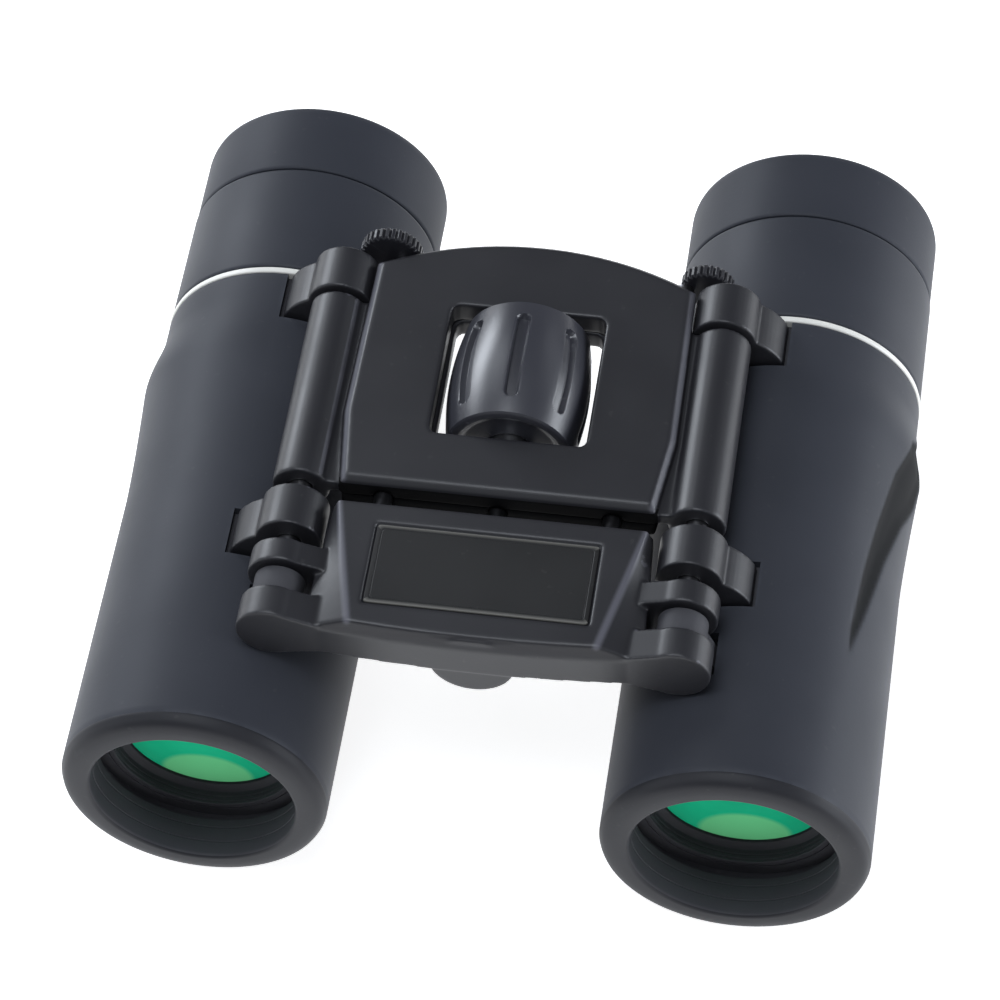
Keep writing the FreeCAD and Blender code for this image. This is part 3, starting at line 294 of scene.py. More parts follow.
def bump_height(along, turn):
    """Height of the finger bump on the outer side, rising slowly and falling off short behind."""
    behind = np.clip((BUMP_END - along) / 8.0, 0, 1)
    before = np.clip((along - BUMP_START) / (BUMP_CREST - BUMP_START), 0, 1)
    rise = behind * behind * (3 - 2 * behind) * before ** 1.4
    return BUMP_HEIGHT * rise * np.clip(np.sin(turn), 0, 1) ** 1.2


def slot(low, high, start, end):
    """Window in a barrel's wall: its sides across the hinge's direction, its ends along the barrel."""
    first = math.asin(low / BARREL_RADIUS) - LEAN
    last = math.asin(high / BARREL_RADIUS) - LEAN
    return (first, last, start, end)


def walled_tube(name, side, outer, inner, start, end, slots, turns, rows, material, bumped, scooped):
    """Tube with real wall thickness, windows cut through it, and the bump and scoop pressed in."""
    angles = np.linspace(-math.pi, math.pi, turns, endpoint=False)
    lengths = np.linspace(start, end, rows)
    for first, last, low, high in slots:
        for edge in (first, last):
            angles[np.abs(angles - edge).argmin()] = edge
        for edge in (low, high):
            if start < edge < end:
                lengths[np.abs(lengths - edge).argmin()] = edge
    turn, along = np.meshgrid(angles, lengths, indexing="ij")
    within = inside_scoop(along, turn) if scooped else np.full(turn.shape, -1.0)
    dip = np.clip((within + 0.3) / 2.2, 0, 1)
    dip = dip * dip * (3 - 2 * dip)
    tint = np.clip((within + 0.1) / 0.55, 0, 1)
    radius = np.full(turn.shape, outer)
    if bumped:
        radius += bump_height(along, turn)
    if scooped:
        radius -= SCOOP_DEPTH * dip
    near_end = np.minimum(along - start, end - along)
    radius -= 0.12 * np.clip(1 - near_end / 0.35, 0, 1) ** 2
    walls = [(radius, tint), (np.full(turn.shape, inner), np.zeros(turn.shape))]
    points = []
    marks = []
    for wall, mark in walls:
        xs = side * (BARREL_X + wall * np.sin(turn))
        zs = wall * np.cos(turn)
        points += list(zip(xs.ravel(), along.ravel(), zs.ravel()))
        marks += list(mark.ravel())
    middle_turn = angles + np.diff(np.append(angles, angles[0] + 2 * math.pi)) / 2
    middle_length = (lengths[1:] + lengths[:-1]) / 2
    solid = np.ones((turns, rows - 1), bool)
    for first, last, low, high in slots:
        across = (middle_turn > first) & (middle_turn < last)
        lengthwise = (middle_length > low) & (middle_length < high)
        solid &= ~(across[:, None] & lengthwise[None, :])
    faces = []
    step = turns * rows
    for i in range(turns):
        j_turn = (i + 1) % turns
        for j in range(rows - 1):
            if not solid[i, j]:
                continue
            a, b = i * rows + j, i * rows + j + 1
            c, d = j_turn * rows + j + 1, j_turn * rows + j
            faces.append((a, b, c, d))
            faces.append((a + step, d + step, c + step, b + step))
            if j == 0 or not solid[i, j - 1]:
                faces.append((a, d, d + step, a + step))
            if j == rows - 2 or not solid[i, j + 1]:
                faces.append((b, b + step, c + step, c))
            if not solid[i - 1, j]:
                faces.append((a, a + step, b + step, b))
            if not solid[j_turn, j]:
                faces.append((d, c, c + step, d + step))
    return finished(name, points, faces, material, sharp=40, values={"scoop": marks})


front_slot = slot(-4.6, 6.6, 27.4, 34.6)
rear_slot = slot(-4.6, 6.6, 67.3, 80.0)
finger_slot = slot(-2.6, 2.6, 16.75, 23.25)
for name, side in SIDES:
    piece = walled_tube(name + "_skin", side, BARREL_RADIUS, 16.25, 2.05, 74.95,
                        (front_slot, rear_slot, finger_slot), 240, 140, skin, True, side > 0)
    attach(piece, name + "_barrel")
    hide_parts(name + "_barrel_sleeve")


# ---- inner tubes and hinge arms -----------------------------------------------------------------
# The inner tube is black moulded plastic, in one with the front and rear hinge arms. Each arm flares
# from the barrel's crown to a round knuckle that turns on the steel hinge rod.

# Its sharp edges also get a painted highlight through the glint value, besides real rubbed wear.
moulded_black = surface("moulded_black", (0.0220, 0.0220, 0.0262), (0.0190, 0.0190, 0.0228),
                        (0.105, 0.105, 0.125), 0.38, 0.08, grains=2600.0, relief=8e-6, wear=0.4, dust=0.03,
                        specular=0.55, painted_glint=0.45)
# Near-black finish painted on faces in the gaps between parts, as painted shade.
shaded_black = surface("shaded_black", (0.0060, 0.0060, 0.0066), (0.0045, 0.0045, 0.005),
                       (0.02, 0.02, 0.022), 0.8, 0.1, grains=1800.0, relief=14e-6, wear=0.2, dust=0.03,
                       specular=0.1)
# inner_black is the black of the inner parts, painted lighter than the outer plastics as painted light for
# the inside of the hood.
inner_black = surface("inner_black", (0.058, 0.058, 0.066), (0.050, 0.050, 0.058), (0.075, 0.075, 0.08),
                      0.6, 0.1, grains=1800.0, relief=14e-6, wear=0.2, dust=0.03, specular=0.3)


def soft_edged(name, node, voxel, passes, material, windows=()):
    """Copy of a CAD node, or of what windows keep of it, remeshed so that its edges are moulded soft."""
    shape = bmesh.new()
    shape.from_mesh(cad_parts[node].data)
    bmesh.ops.remove_doubles(shape, verts=shape.verts, dist=2e-7)
    bmesh.ops.scale(shape, vec=(1000, 1000, 1000), verts=shape.verts)
    mesh = bpy.data.meshes.new(name)
    shape.to_mesh(mesh)
    shape.free()
    thing = bpy.data.objects.new(name, mesh)
    bpy.context.scene.collection.objects.link(thing)
    if windows:
        keep_mesh = bpy.data.meshes.new(name + "_keep")
        corners = [corner for window in windows for corner in window]
        sides = ((0, 1, 3, 2), (4, 6, 7, 5), (0, 4, 5, 1), (2, 3, 7, 6), (0, 2, 6, 4), (1, 5, 7, 3))
        box_faces = [[8 * index + corner for corner in face]
                     for index in range(len(windows)) for face in sides]
        keep_mesh.from_pydata(corners, [], box_faces)
        keep_shape = bmesh.new()
        keep_shape.from_mesh(keep_mesh)
        bmesh.ops.recalc_face_normals(keep_shape, faces=keep_shape.faces)
        keep_shape.to_mesh(keep_mesh)
        keep_shape.free()
        keep = bpy.data.objects.new(name + "_keep", keep_mesh)
        bpy.context.scene.collection.objects.link(keep)
        cut = thing.modifiers.new("keep", "BOOLEAN")
        cut.operation = "INTERSECT"
        cut.solver = "EXACT"
        cut.object = keep
    remesh = thing.modifiers.new("remesh", "REMESH")
    remesh.mode = "VOXEL"
    remesh.voxel_size = voxel
    ease = thing.modifiers.new("ease", "SMOOTH")
    ease.factor = 0.5
    ease.iterations = passes
    bpy.context.view_layer.update()
    graph = bpy.context.evaluated_depsgraph_get()
    result = bpy.data.meshes.new_from_object(thing.evaluated_get(graph), depsgraph=graph)
    shape = bmesh.new()
    shape.from_mesh(result)
    bmesh.ops.scale(shape, vec=(0.001, 0.001, 0.001), verts=shape.verts)
    bmesh.ops.recalc_face_normals(shape, faces=shape.faces)
    shape.to_mesh(result)
    shape.free()
    thing.modifiers.clear()
    thing.data = result
    result.name = name
    result.materials.clear()
    result.materials.append(material)
    result.polygons.foreach_set("use_smooth", [True] * len(result.polygons))
    if windows:
        bpy.data.objects.remove(keep)
    return thing


def paint_shade_within(thing, low, high):
    """Paints shade: gives the faces between two corners, in millimetres, the near-black painted-shade finish.
    """
    thing.data.materials.append(shaded_black)
    first, last = Vector(placed(*low)), Vector(placed(*high))
    for face in thing.data.polygons:
        centre = face.center
        if all(first[axis] < centre[axis] < last[axis] for axis in range(3)):
            face.material_index = 1


def paint_edge_highlights(thing, lines, width):
    """Paints highlights along rounded edges: marks the points near lines that join corners, given in
    millimetres, for the material to lighten.
    """
    mesh = thing.data
    places = np.empty(len(mesh.vertices) * 3)
    mesh.vertices.foreach_get("co", places)
    places = places.reshape(-1, 3)
    nearest = np.full(len(places), 1.0)
    for corner, next_corner in lines:
        first = np.array(placed(*corner))
        run = np.array(placed(*next_corner)) - first
        share = np.clip((places - first) @ run / (run @ run), 0, 1)
        nearest = np.minimum(nearest, np.linalg.norm(places - first - share[:, None] * run, axis=1))
    mark = np.clip(1.4 - nearest * 1000 / width, 0, 1)
    mesh.attributes.new("edge_line", "FLOAT", "POINT").data.foreach_set("value", mark)


ARM_REACH = 9.0
ARM_FOOT = 15.2
ARM_HEAD = 30.0


def window_round(side, start, end):
    """Corners, in the frame but in millimetres, of a box round one arm, along the hinge's direction."""
    corners = []
    for across in (-ARM_REACH, ARM_REACH):
        for along in (start, end):
            for up in (ARM_FOOT, ARM_HEAD):
                x = side * (BARREL_X + across * math.cos(LEAN) - up * math.sin(LEAN))
                z = across * math.sin(LEAN) + up * math.cos(LEAN)
                corners.append(Vector(placed(x, along, z)) * 1000)
    return corners


for name, side in SIDES:
    piece = walled_tube(name + "_inner_tube", side, 16.2, 14.8, 6.3, 75.9, (finger_slot,),
                        128, 48, inner_black, False, False)
    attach(piece, name + "_barrel")
    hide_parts(name + "_barrel_tube")
    arms = soft_edged(name + "_hinge_arms", name + "_barrel_tube", 0.17, 5, moulded_black,
                      (window_round(side, 26.0, 36.0), window_round(side, 66.0, 75.8)))
    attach(arms, name + "_barrel")


# ---- front rims ---------------------------------------------------------------------------------
# A turned-looking rim of darker plastic is pressed into the front of each barrel. Its outer edge is
# well rounded, and shallow steps inside the hood catch stray light in front of the objective.

def eased(profile, closed):
    """Profile with each corner that has a third number rounded by about that many millimetres."""
    made = []
    count = len(profile)
    for index, point in enumerate(profile):
        inner_point = closed or 0 < index < count - 1
        if len(point) < 3 or not inner_point:
            made.append(point[:2])
            continue
        corner = Vector(point[:2])
        before = Vector(profile[index - 1][:2]) - corner
        after = Vector(profile[(index + 1) % count][:2]) - corner
        first = corner + before.normalized() * min(point[2], before.length * 0.49)
        last = corner + after.normalized() * min(point[2], after.length * 0.49)
        for step in range(6):
            share = step / 5
            bend = first.lerp(corner, share).lerp(corner.lerp(last, share), share)
            made.append((bend.x, bend.y))
    return made


def turned(name, profile, x, z, material, steps=144, closed=True, gap=None, sharp=35):
    """Solid turned about a line along the barrel; profile is (radius, place along, rounding)."""
    outline = eased(profile, closed)
    first, last = gap or (0.0, 2 * math.pi)
    angles = [first + (last - first) * step / steps for step in range(steps + (1 if gap else 0))]
    points = []
    rings = []
    for radius, along in outline:
        if radius < 1e-6:
            points.append((x, along, z))
            rings.append([len(points) - 1] * len(angles))
            continue
        ring = []
        for angle in angles:
            points.append((x + radius * math.sin(angle), along, z + radius * math.cos(angle)))
            ring.append(len(points) - 1)
        rings.append(ring)
    faces = []
    spans = len(rings) if closed else len(rings) - 1
    for index in range(spans):
        here, there = rings[index], rings[(index + 1) % len(rings)]
        for step in range(steps):
            onward = step + 1 if gap else (step + 1) % steps
            corners = [here[step], here[onward], there[onward], there[step]]
            distinct = list(dict.fromkeys(corners))
            if len(distinct) > 2:
                faces.append(distinct)
    if gap:
        faces.append([ring[0] for ring in rings])
        faces.append([ring[-1] for ring in reversed(rings)])
    return finished(name, points, faces, material, sharp)


rim_plastic = surface("rim_plastic", (0.024, 0.0245, 0.029), (0.020, 0.0205, 0.025), (0.05, 0.052, 0.06),
                      0.46, 0.08, grains=2400.0, relief=8e-6, wear=0.15, dust=0.03, specular=0.25)
HOOD_RADIUS = 13.5
RIM = [(HOOD_RADIUS, 5.9, 0.1)]
for place in (4.6, 2.4):
    RIM += [(HOOD_RADIUS, place + 0.14, 0.05), (HOOD_RADIUS + 0.1, place + 0.07, 0.05),
            (HOOD_RADIUS, place - 0.07, 0.05)]
RIM += [(HOOD_RADIUS, 0.35, 0.3), (13.85, 0.0, 0.25), (15.55, 0.0, 1.0), (16.9, 0.45, 0.7), (17.46, 1.6, 0.5),
        (17.5, 2.0, 0.05), (16.2, 2.0), (16.2, 5.9)]
for name, side in SIDES:
    piece = turned(name + "_front_rim", RIM, side * BARREL_X, 0.0, rim_plastic, steps=192, sharp=50)
    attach(piece, name + "_barrel")
    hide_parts(name + "_front_bezel")
    # The rim's faces inside the hood take the lighter inner_black, painted light inside the hood.
    piece.data.materials.append(inner_black)
    for face in piece.data.polygons:
        centre_x = face.center.x * 1000 - side * BARREL_X
        centre_z = (face.center.z - AXIS_Z) * 1000
        if math.hypot(centre_x, centre_z) < HOOD_RADIUS + 0.12:
            face.material_index = 1


# ---- objectives ---------------------------------------------------------------------------------
# The objective is a cemented pair of lenses in a black cell that slides for focusing. A threaded
# step ring holds it in. The front lens has a green coating; a lighter painted reflection sits low
# on it, and to the camera its colour also glows as painted light.

# Place and size of the painted reflection spot on the front lens, in metres.
SPOT_OUT = 0.0006
SPOT_DOWN = 0.0094
SPOT_INNER = 0.0055
SPOT_OUTER = 0.0066


def glass(name, tint, transmission, roughness, painted_reflection=None):
    """Optical glass with a faint mottle of tint and wiping marks; a coated one also has a painted reflection
    spot and glows in its colour, to camera rays only, as painted light.
    """
    material = bpy.data.materials.new(name)
    material.use_nodes = True
    tree = material.node_tree
    shader = tree.nodes["Principled BSDF"]
    shader.inputs["Transmission Weight"].default_value = transmission
    shader.inputs["Metallic"].default_value = 0.0
    shader.inputs["IOR"].default_value = 1.52
    touched = placed_group(tree, touch_group, Smears_per_metre=90.0)
    grain = placed_group(tree, grain_group, Grains_per_metre=300.0, Mottle_per_metre=120.0)
    darker = tuple(0.86 * part for part in tint)
    colour = blended(tree, grain["Mottle"], tint, darker)
    if painted_reflection:
        where = tree.nodes.new("ShaderNodeTexCoord").outputs["Object"]
        parts = tree.nodes.new("ShaderNodeSeparateXYZ")
        tree.links.new(where, parts.inputs[0])
        spread_x = calc(tree, "ABSOLUTE", parts.outputs["X"])
        across = calc(tree, "SUBTRACT", spread_x, BARREL_X / 1000 + SPOT_OUT)
        up = calc(tree, "SUBTRACT", parts.outputs["Z"], AXIS_Z - SPOT_DOWN)
        squares = calc(tree, "ADD", calc(tree, "POWER", across, 2.0), calc(tree, "POWER", up, 2.0))
        away = calc(tree, "SQRT", squares)
        reflection_patch = calc(tree, "SUBTRACT", 1.0, stepped(tree, away, SPOT_INNER, SPOT_OUTER))
        colour = blended(tree, reflection_patch, colour, painted_reflection)
        # Painted glow: the lens shows its colour as emission, to the camera only.
        ray = tree.nodes.new("ShaderNodeLightPath")
        painted_glow = blended(tree, ray.outputs["Is Camera Ray"], (0.0, 0.0, 0.0), colour)
        tree.links.new(painted_glow, shader.inputs["Emission Color"])
        shader.inputs["Emission Strength"].default_value = 0.47
    tree.links.new(colour, shader.inputs["Base Color"])
    tree.links.new(calc(tree, "MULTIPLY_ADD", touched["Smear"], 0.04, roughness),
                   shader.inputs["Roughness"])
    bump = tree.nodes.new("ShaderNodeBump")
    bump.inputs["Distance"].default_value = 1e-6
    tree.links.new(grain["Height"], bump.inputs["Height"])
    tree.links.new(bump.outputs["Normal"], shader.inputs["Normal"])
    return material


glowing_coated_glass = glass("green_coated_glass", (0.010, 0.37, 0.19), 0.06, 0.05, painted_reflection=(0.11, 0.46, 0.20))
clear_glass = glass("clear_glass", (0.93, 0.96, 0.95), 0.9, 0.02)
CELL_RING = [(12.05, 7.4, 0.12), (12.9, 7.4, 0.15), (12.9, 10.35), (11.1, 10.35, 0.05),
             (11.1, 9.9, 0.1), (11.45, 9.75, 0.1), (11.75, 9.55, 0.1), (12.05, 9.3, 0.1),
             (12.05, 8.7, 0.05), (12.15, 8.6, 0.04), (12.05, 8.5, 0.05), (12.05, 8.0, 0.05),
             (12.15, 7.9, 0.04), (12.05, 7.8, 0.05)]


def lens_profile(radius, edge, thickness, front_curve, back_curve):
    """Half section of a lens from axis to axis; a curve is a radius, bulging out, or 0 for flat."""
    made = []
    for curve, at, outward in ((front_curve, edge, -1), (back_curve, edge + thickness, 1)):
        run = []
        for step in range(13):
            across = radius * step / 12
            rise = 0.0
            if curve:
                rise = math.sqrt(curve * curve - across * across)
                rise -= math.sqrt(curve * curve - radius * radius)
            run.append((across, at + outward * rise))
        made += run if outward < 0 else run[::-1]
    return made


for name, side in SIDES:
    x = side * BARREL_X
    piece = turned(name + "_step_ring", CELL_RING, x, 0.0, inner_black, steps=160)
    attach(piece, name + "_objective")
    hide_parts(name + "_retaining_ring")
    piece = turned(name + "_front_lens", lens_profile(11.6, 10.5, 1.2, 48.0, 38.0), x, 0.0,
                   glowing_coated_glass, steps=128, closed=False)
    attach(piece, name + "_objective")
    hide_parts(name + "_objective_front_lens")


def dressed(node, material):
    """CAD node shown as it is, with its finish."""
    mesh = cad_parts[node].data
    mesh.materials.clear()
    mesh.materials.append(material)


for name, side in SIDES:
    dressed(name + "_objective_cell", inner_black)
    dressed(name + "_objective_rear_lens", clear_glass)


# ---- prisms and stops ---------------------------------------------------------------------------
# Inside each tube a black holder carries a half-penta prism and a roof prism, which turn the picture
# upright, and a thin washer in front of the eyepiece bounds the view.

for name, side in SIDES:
    dressed(name + "_prism_holder", inner_black)
    dressed(name + "_half_penta_prism", clear_glass)
    dressed(name + "_roof_prism", clear_glass)
    dressed(name + "_field_stop", inner_black)


# ---- eyepiece ends ------------------------------------------------------------------------------
# A narrow white ring closes the skin. Behind it sits a plain ring, fixed on the left and turning as
# the dioptre setting on the right, and then the eyecup, a soft cup that slides on the rear tube.

white_trim = surface("white_trim", (0.86, 0.85, 0.80), (0.82, 0.81, 0.76), (0.9, 0.9, 0.88),
                     0.35, 0.1, grains=2000.0, relief=4e-6, wear=0.2, dust=0.0)
cup_rubber = surface("cup_rubber", (0.042, 0.045, 0.056), (0.037, 0.040, 0.050), (0.08, 0.086, 0.105),
                     0.50, 0.06, grains=3000.0, relief=9e-6, wear=0.3, dust=0.03, specular=0.16)
TRIM = [(16.3, 75.0), (17.5, 75.0, 0.2), (17.6, 75.2, 0.2), (17.6, 75.75, 0.2), (17.45, 75.95, 0.1),
        (16.3, 75.95)]
REAR_RING = [(15.7, 76.2), (17.3, 76.2, 0.15), (17.5, 76.5, 0.3), (17.5, 93.6, 0.3), (17.3, 94.0, 0.15),
             (15.7, 94.0)]
CUP = [(15.7, 94.3), (17.2, 94.3, 0.12), (17.4, 94.6, 0.3), (17.42, 105.0, 0.8), (17.0, 106.0, 0.7),
       (15.9, 106.3, 0.6), (12.3, 106.3, 0.6), (11.5, 105.6, 0.5), (11.5, 104.6, 0.2), (15.7, 104.3)]
EYE_CELL = [(9.4, 84.0), (12.8, 84.0, 0.1), (12.8, 101.0, 0.25), (12.2, 101.0, 0.2), (11.6, 100.6, 0.15),
            (11.0, 100.3, 0.15), (10.4, 99.8, 0.15), (9.8, 99.4, 0.15), (9.05, 98.9, 0.1), (9.05, 96.9),
            (8.4, 96.9), (8.4, 90.2), (10.05, 90.2), (10.05, 85.4), (9.4, 85.4)]
for name, side in SIDES:
    x = side * BARREL_X
    opening = [slot(-4.6, 3.6, 0, 0)[index] * side for index in (0, 1)]
    low, high = min(opening), max(opening)
    piece = turned(name + "_trim_ring", TRIM, x, 0.0, white_trim, steps=160,
                   gap=(high, low + 2 * math.pi))
    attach(piece, name + "_barrel")
    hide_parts(name + "_white_ring")
    ring_node = "left_rear_ring" if side < 0 else "right_dioptre_ring"
    piece = turned(name + "_rear_band", REAR_RING, x, 0.0, skin, steps=192)
    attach(piece, "left_barrel" if side < 0 else "dioptre_ring")
    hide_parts(ring_node)
    piece = turned(name + "_cup", CUP, x, 0.0, cup_rubber, steps=192)
    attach(piece, name + "_eyecup")
    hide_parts(name + "_eyecup")
    ocular = "left_barrel" if side < 0 else "right_ocular"
    piece = turned(name + "_eye_cell", EYE_CELL, x, 0.0, inner_black, steps=128)
    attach(piece, ocular)
    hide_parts(name + "_eyepiece_cell")
    piece = turned(name + "_eye_glass", lens_profile(9.0, 97.0, 1.4, 0.0, 27.0), x, 0.0, clear_glass,
                   steps=96, closed=False)
    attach(piece, ocular)
    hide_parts(name + "_eye_lens")
    dressed(name + "_ocular_tube", inner_black)
    dressed(name + "_field_lens", clear_glass)


# ---- bridge covers ------------------------------------------------------------------------------
# The bridge is two satin black shells screwed together from below. The upper one has a bevel round
# its top, the window for the wheel, and a hinge roller down each side between the arms.

cover = soft_edged("upper_cover", "top_cover", 0.28, 4, moulded_black)
# The cover's faces towards the slider gap get painted shade.
paint_shade_within(cover, (-21.0, 30.0, 10.0), (21.0, 37.5, 22.9))
# Painted highlight along the long edges of the top bevel.
rim_corners = [(20.3, 36.6, 23.6), (21.6, 48.0, 23.6), (21.3, 73.4, 23.6)]
rim_highlight_lines = [((side * a[0], a[1], a[2]), (side * b[0], b[1], b[2]))
             for side in (-1, 1) for a, b in zip(rim_corners, rim_corners[1:])]
paint_edge_highlights(cover, rim_highlight_lines, 0.5)
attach(cover, "bridge")
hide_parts("top_cover")
base = soft_edged("lower_cover", "bottom_cover", 0.33, 4, moulded_black)
# The lower cover's faces towards the slider gap get painted shade.
paint_shade_within(base, (-21.0, 30.0, 17.8), (21.0, 37.5, 22.0))
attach(base, "bridge")
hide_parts("bottom_cover")


# ---- rods, spindle and screws -------------------------------------------------------------------
# Two steel hinge rods with rounded heads carry the arms, two short guide rods keep the slider
# square, and the threaded spindle ties wheel and slider. Four cross-head screws join the covers.

steel = surface("blackened_steel", (0.20, 0.20, 0.21), (0.15, 0.15, 0.16), (0.45, 0.45, 0.46),
                0.28, 0.12, grains=1400.0, relief=3e-6, wear=0.5, metallic=1.0, smears=160.0)
brass = surface("brass", (0.62, 0.44, 0.16), (0.52, 0.36, 0.12), (0.75, 0.58, 0.28),
                0.25, 0.12, grains=1200.0, relief=3e-6, metallic=1.0, smears=120.0)
ROD = [(0.0, 15.4), (1.1, 15.4, 0.3), (1.5, 15.9, 0.3), (1.5, 75.05, 0.05), (2.5, 75.05, 0.15),
       (2.5, 75.6, 0.35), (1.9, 76.0, 0.3), (0.0, 76.0)]
for name, side in SIDES:
    piece = turned(name + "_rod", ROD, side * HINGE_X, HINGE_Z, steel, steps=64, closed=False)
    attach(piece, "bridge")
    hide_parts(name + "_hinge_rod")
dark_steel = surface("dark_steel", (0.035, 0.035, 0.038), (0.028, 0.028, 0.03), (0.10, 0.10, 0.11),
                     0.4, 0.12, grains=1400.0, relief=3e-6, wear=0.3, metallic=1.0, smears=160.0)
dressed("guide_rods", dark_steel)
dressed("focus_spindle", dark_steel)
dressed("wheel_washers", steel)
dressed("yoke_nut", brass)

HEAD = [(0.0, 17.7), (0.42, 17.72), (0.9, 17.8, 0.2), (1.62, 17.98, 0.15), (1.7, 18.2, 0.1), (1.7, 18.45),
        (0.8, 18.45), (0.8, 22.4, 0.2), (0.0, 22.5)]


CROSS_DEPTH = 0.3
CROSS_HALF_WIDTH = 0.22


def screw_mesh():
    """One cross-head screw about the origin, standing along Z in millimetres."""
    points = []
    outline = eased(HEAD, False)
    steps = 40
    rings = []
    for radius, height in outline:
        ring = []
        for step in range(steps if radius > 1e-6 else 1):
            angle = 2 * math.pi * step / steps
            depth = 0.0
            if height < 18.0:
                reach = min(abs(radius * math.sin(angle)), abs(radius * math.cos(angle)))
                depth = CROSS_DEPTH if reach < CROSS_HALF_WIDTH and radius < 1.0 else 0.0
            points.append((radius * math.sin(angle) / 1000, radius * math.cos(angle) / 1000,
                           (height + depth) / 1000))
            ring.append(len(points) - 1)
        rings.append(ring * steps if len(ring) == 1 else ring)
    faces = []
    for here, there in zip(rings, rings[1:]):
        for step in range(steps):
            onward = (step + 1) % steps
            corners = dict.fromkeys([here[step], here[onward], there[onward], there[step]])
            if len(corners) > 2:
                faces.append(list(corners))
    mesh = bpy.data.meshes.new("screw")
    mesh.from_pydata(points, [], faces)
    shape = bmesh.new()
    shape.from_mesh(mesh)
    bmesh.ops.recalc_face_normals(shape, faces=shape.faces)
    shape.to_mesh(mesh)
    shape.free()
    return mesh


set_out, set_in, set_result = new_group(
    "set_out_screws", "GeometryNodeTree",
    [("Places", "NodeSocketGeometry", None), ("Screw", "NodeSocketObject", None),
     ("Height", "NodeSocketFloat", 0.0), ("Finish", "NodeSocketMaterial", None)],
    [("Screws", "NodeSocketGeometry")],
)
screw_info = set_out.nodes.new("GeometryNodeObjectInfo")
screw_on = set_out.nodes.new("GeometryNodeInstanceOnPoints")
screw_up = set_out.nodes.new("GeometryNodeSetPosition")
screw_lift = set_out.nodes.new("ShaderNodeCombineXYZ")
screw_real = set_out.nodes.new("GeometryNodeRealizeInstances")
screw_finish = set_out.nodes.new("GeometryNodeSetMaterial")
for start, end in (
    (set_in.outputs["Screw"], screw_info.inputs["Object"]),
    (set_in.outputs["Places"], screw_up.inputs["Geometry"]),
    (set_in.outputs["Height"], screw_lift.inputs["Z"]),
    (screw_lift.outputs[0], screw_up.inputs["Offset"]),
    (screw_up.outputs[0], screw_on.inputs["Points"]),
    (screw_info.outputs["Geometry"], screw_on.inputs["Instance"]),
    (screw_on.outputs[0], screw_real.inputs[0]),
    (screw_real.outputs[0], screw_finish.inputs["Geometry"]),
    (set_in.outputs["Finish"], screw_finish.inputs["Material"]),
    (screw_finish.outputs[0], set_result.inputs["Screws"]),
):
    set_out.links.new(start, end)


def grown(thing, tree, **values):
    """Runs a Geometry Nodes tree on an object and keeps the result as its plain mesh."""
    modifier = thing.modifiers.new(tree.name, "NODES")
    modifier.node_group = tree
    for item in tree.interface.items_tree:
        label = item.name.replace(" ", "_")
        if item.in_out == "INPUT" and label in values:
            modifier[item.identifier] = values[label]
    bpy.context.view_layer.update()
    graph = bpy.context.evaluated_depsgraph_get()
    result = bpy.data.meshes.new_from_object(thing.evaluated_get(graph), depsgraph=graph)
    thing.modifiers.clear()
    result.name = thing.name
    thing.data = result
    result.polygons.foreach_set("use_smooth", [True] * len(result.polygons))
    result.set_sharp_from_angle(angle=math.radians(35))


screw_model = bpy.data.objects.new("screw_model", screw_mesh())
bpy.context.scene.collection.objects.link(screw_model)
places_mesh = bpy.data.meshes.new("joint_screws")
SCREW_PLACES = ((-18.0, 41.0), (18.0, 41.0), (-15.5, 71.2), (15.5, 71.2))
places_mesh.from_pydata([placed(x, y, -AXIS_Z * 1000) for x, y in SCREW_PLACES], [], [])
screws = bpy.data.objects.new("joint_screws", places_mesh)
bpy.context.scene.collection.objects.link(screws)
grown(screws, set_out, Screw=screw_model, Height=AXIS_Z, Finish=steel)
bpy.data.objects.remove(screw_model)
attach(screws, "bridge")
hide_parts("cover_screws")


# ---- knurled caps and nose disc -----------------------------------------------------------------
# Small round pieces with a knurled edge: one cap behind the bridge on each side, on a short stem,
# and a disc in the slider's nose whose edge shows below it. All are glossy black plastic.

grooved, groove_in, groove_result = new_group(
    "grooves_round_an_axis", "GeometryNodeTree",
    [("Turning", "NodeSocketGeometry", None), ("Count", "NodeSocketInt", 8),
     ("Length", "NodeSocketFloat", 0.0135), ("Width", "NodeSocketFloat", 0.0018),
     ("Depth", "NodeSocketFloat", 0.0008), ("Softness", "NodeSocketFloat", 0.0003),
     ("Axis X", "NodeSocketFloat", 0.0), ("Axis Z", "NodeSocketFloat", 0.037),
     ("Middle Y", "NodeSocketFloat", 0.0), ("Least radius", "NodeSocketFloat", 0.0075),
     ("First angle", "NodeSocketFloat", 0.0), ("Finish", "NodeSocketMaterial", None)],
    [("Grooved", "NodeSocketGeometry")],
)
asked = groove_in.outputs
here = grooved.nodes.new("GeometryNodeInputPosition").outputs[0]
here_parts = grooved.nodes.new("ShaderNodeSeparateXYZ")
grooved.links.new(here, here_parts.inputs[0])
from_x = calc(grooved, "SUBTRACT", here_parts.outputs["X"], asked["Axis X"])
from_z = calc(grooved, "SUBTRACT", here_parts.outputs["Z"], asked["Axis Z"])
from_y = calc(grooved, "ABSOLUTE", calc(grooved, "SUBTRACT", here_parts.outputs["Y"], asked["Middle Y"]))
radial = calc(grooved, "SQRT", calc(grooved, "ADD", calc(grooved, "MULTIPLY", from_x, from_x),
                                    calc(grooved, "MULTIPLY", from_z, from_z)))
turning = calc(grooved, "SUBTRACT", calc(grooved, "ARCTAN2", from_x, from_z), asked["First angle"])
pitch = calc(grooved, "DIVIDE", 2 * math.pi, asked["Count"])
folded = calc(grooved, "PINGPONG", turning, calc(grooved, "DIVIDE", pitch, 2.0))
sideways = calc(grooved, "MULTIPLY", folded, radial)
half_width = calc(grooved, "DIVIDE", asked["Width"], 2.0)
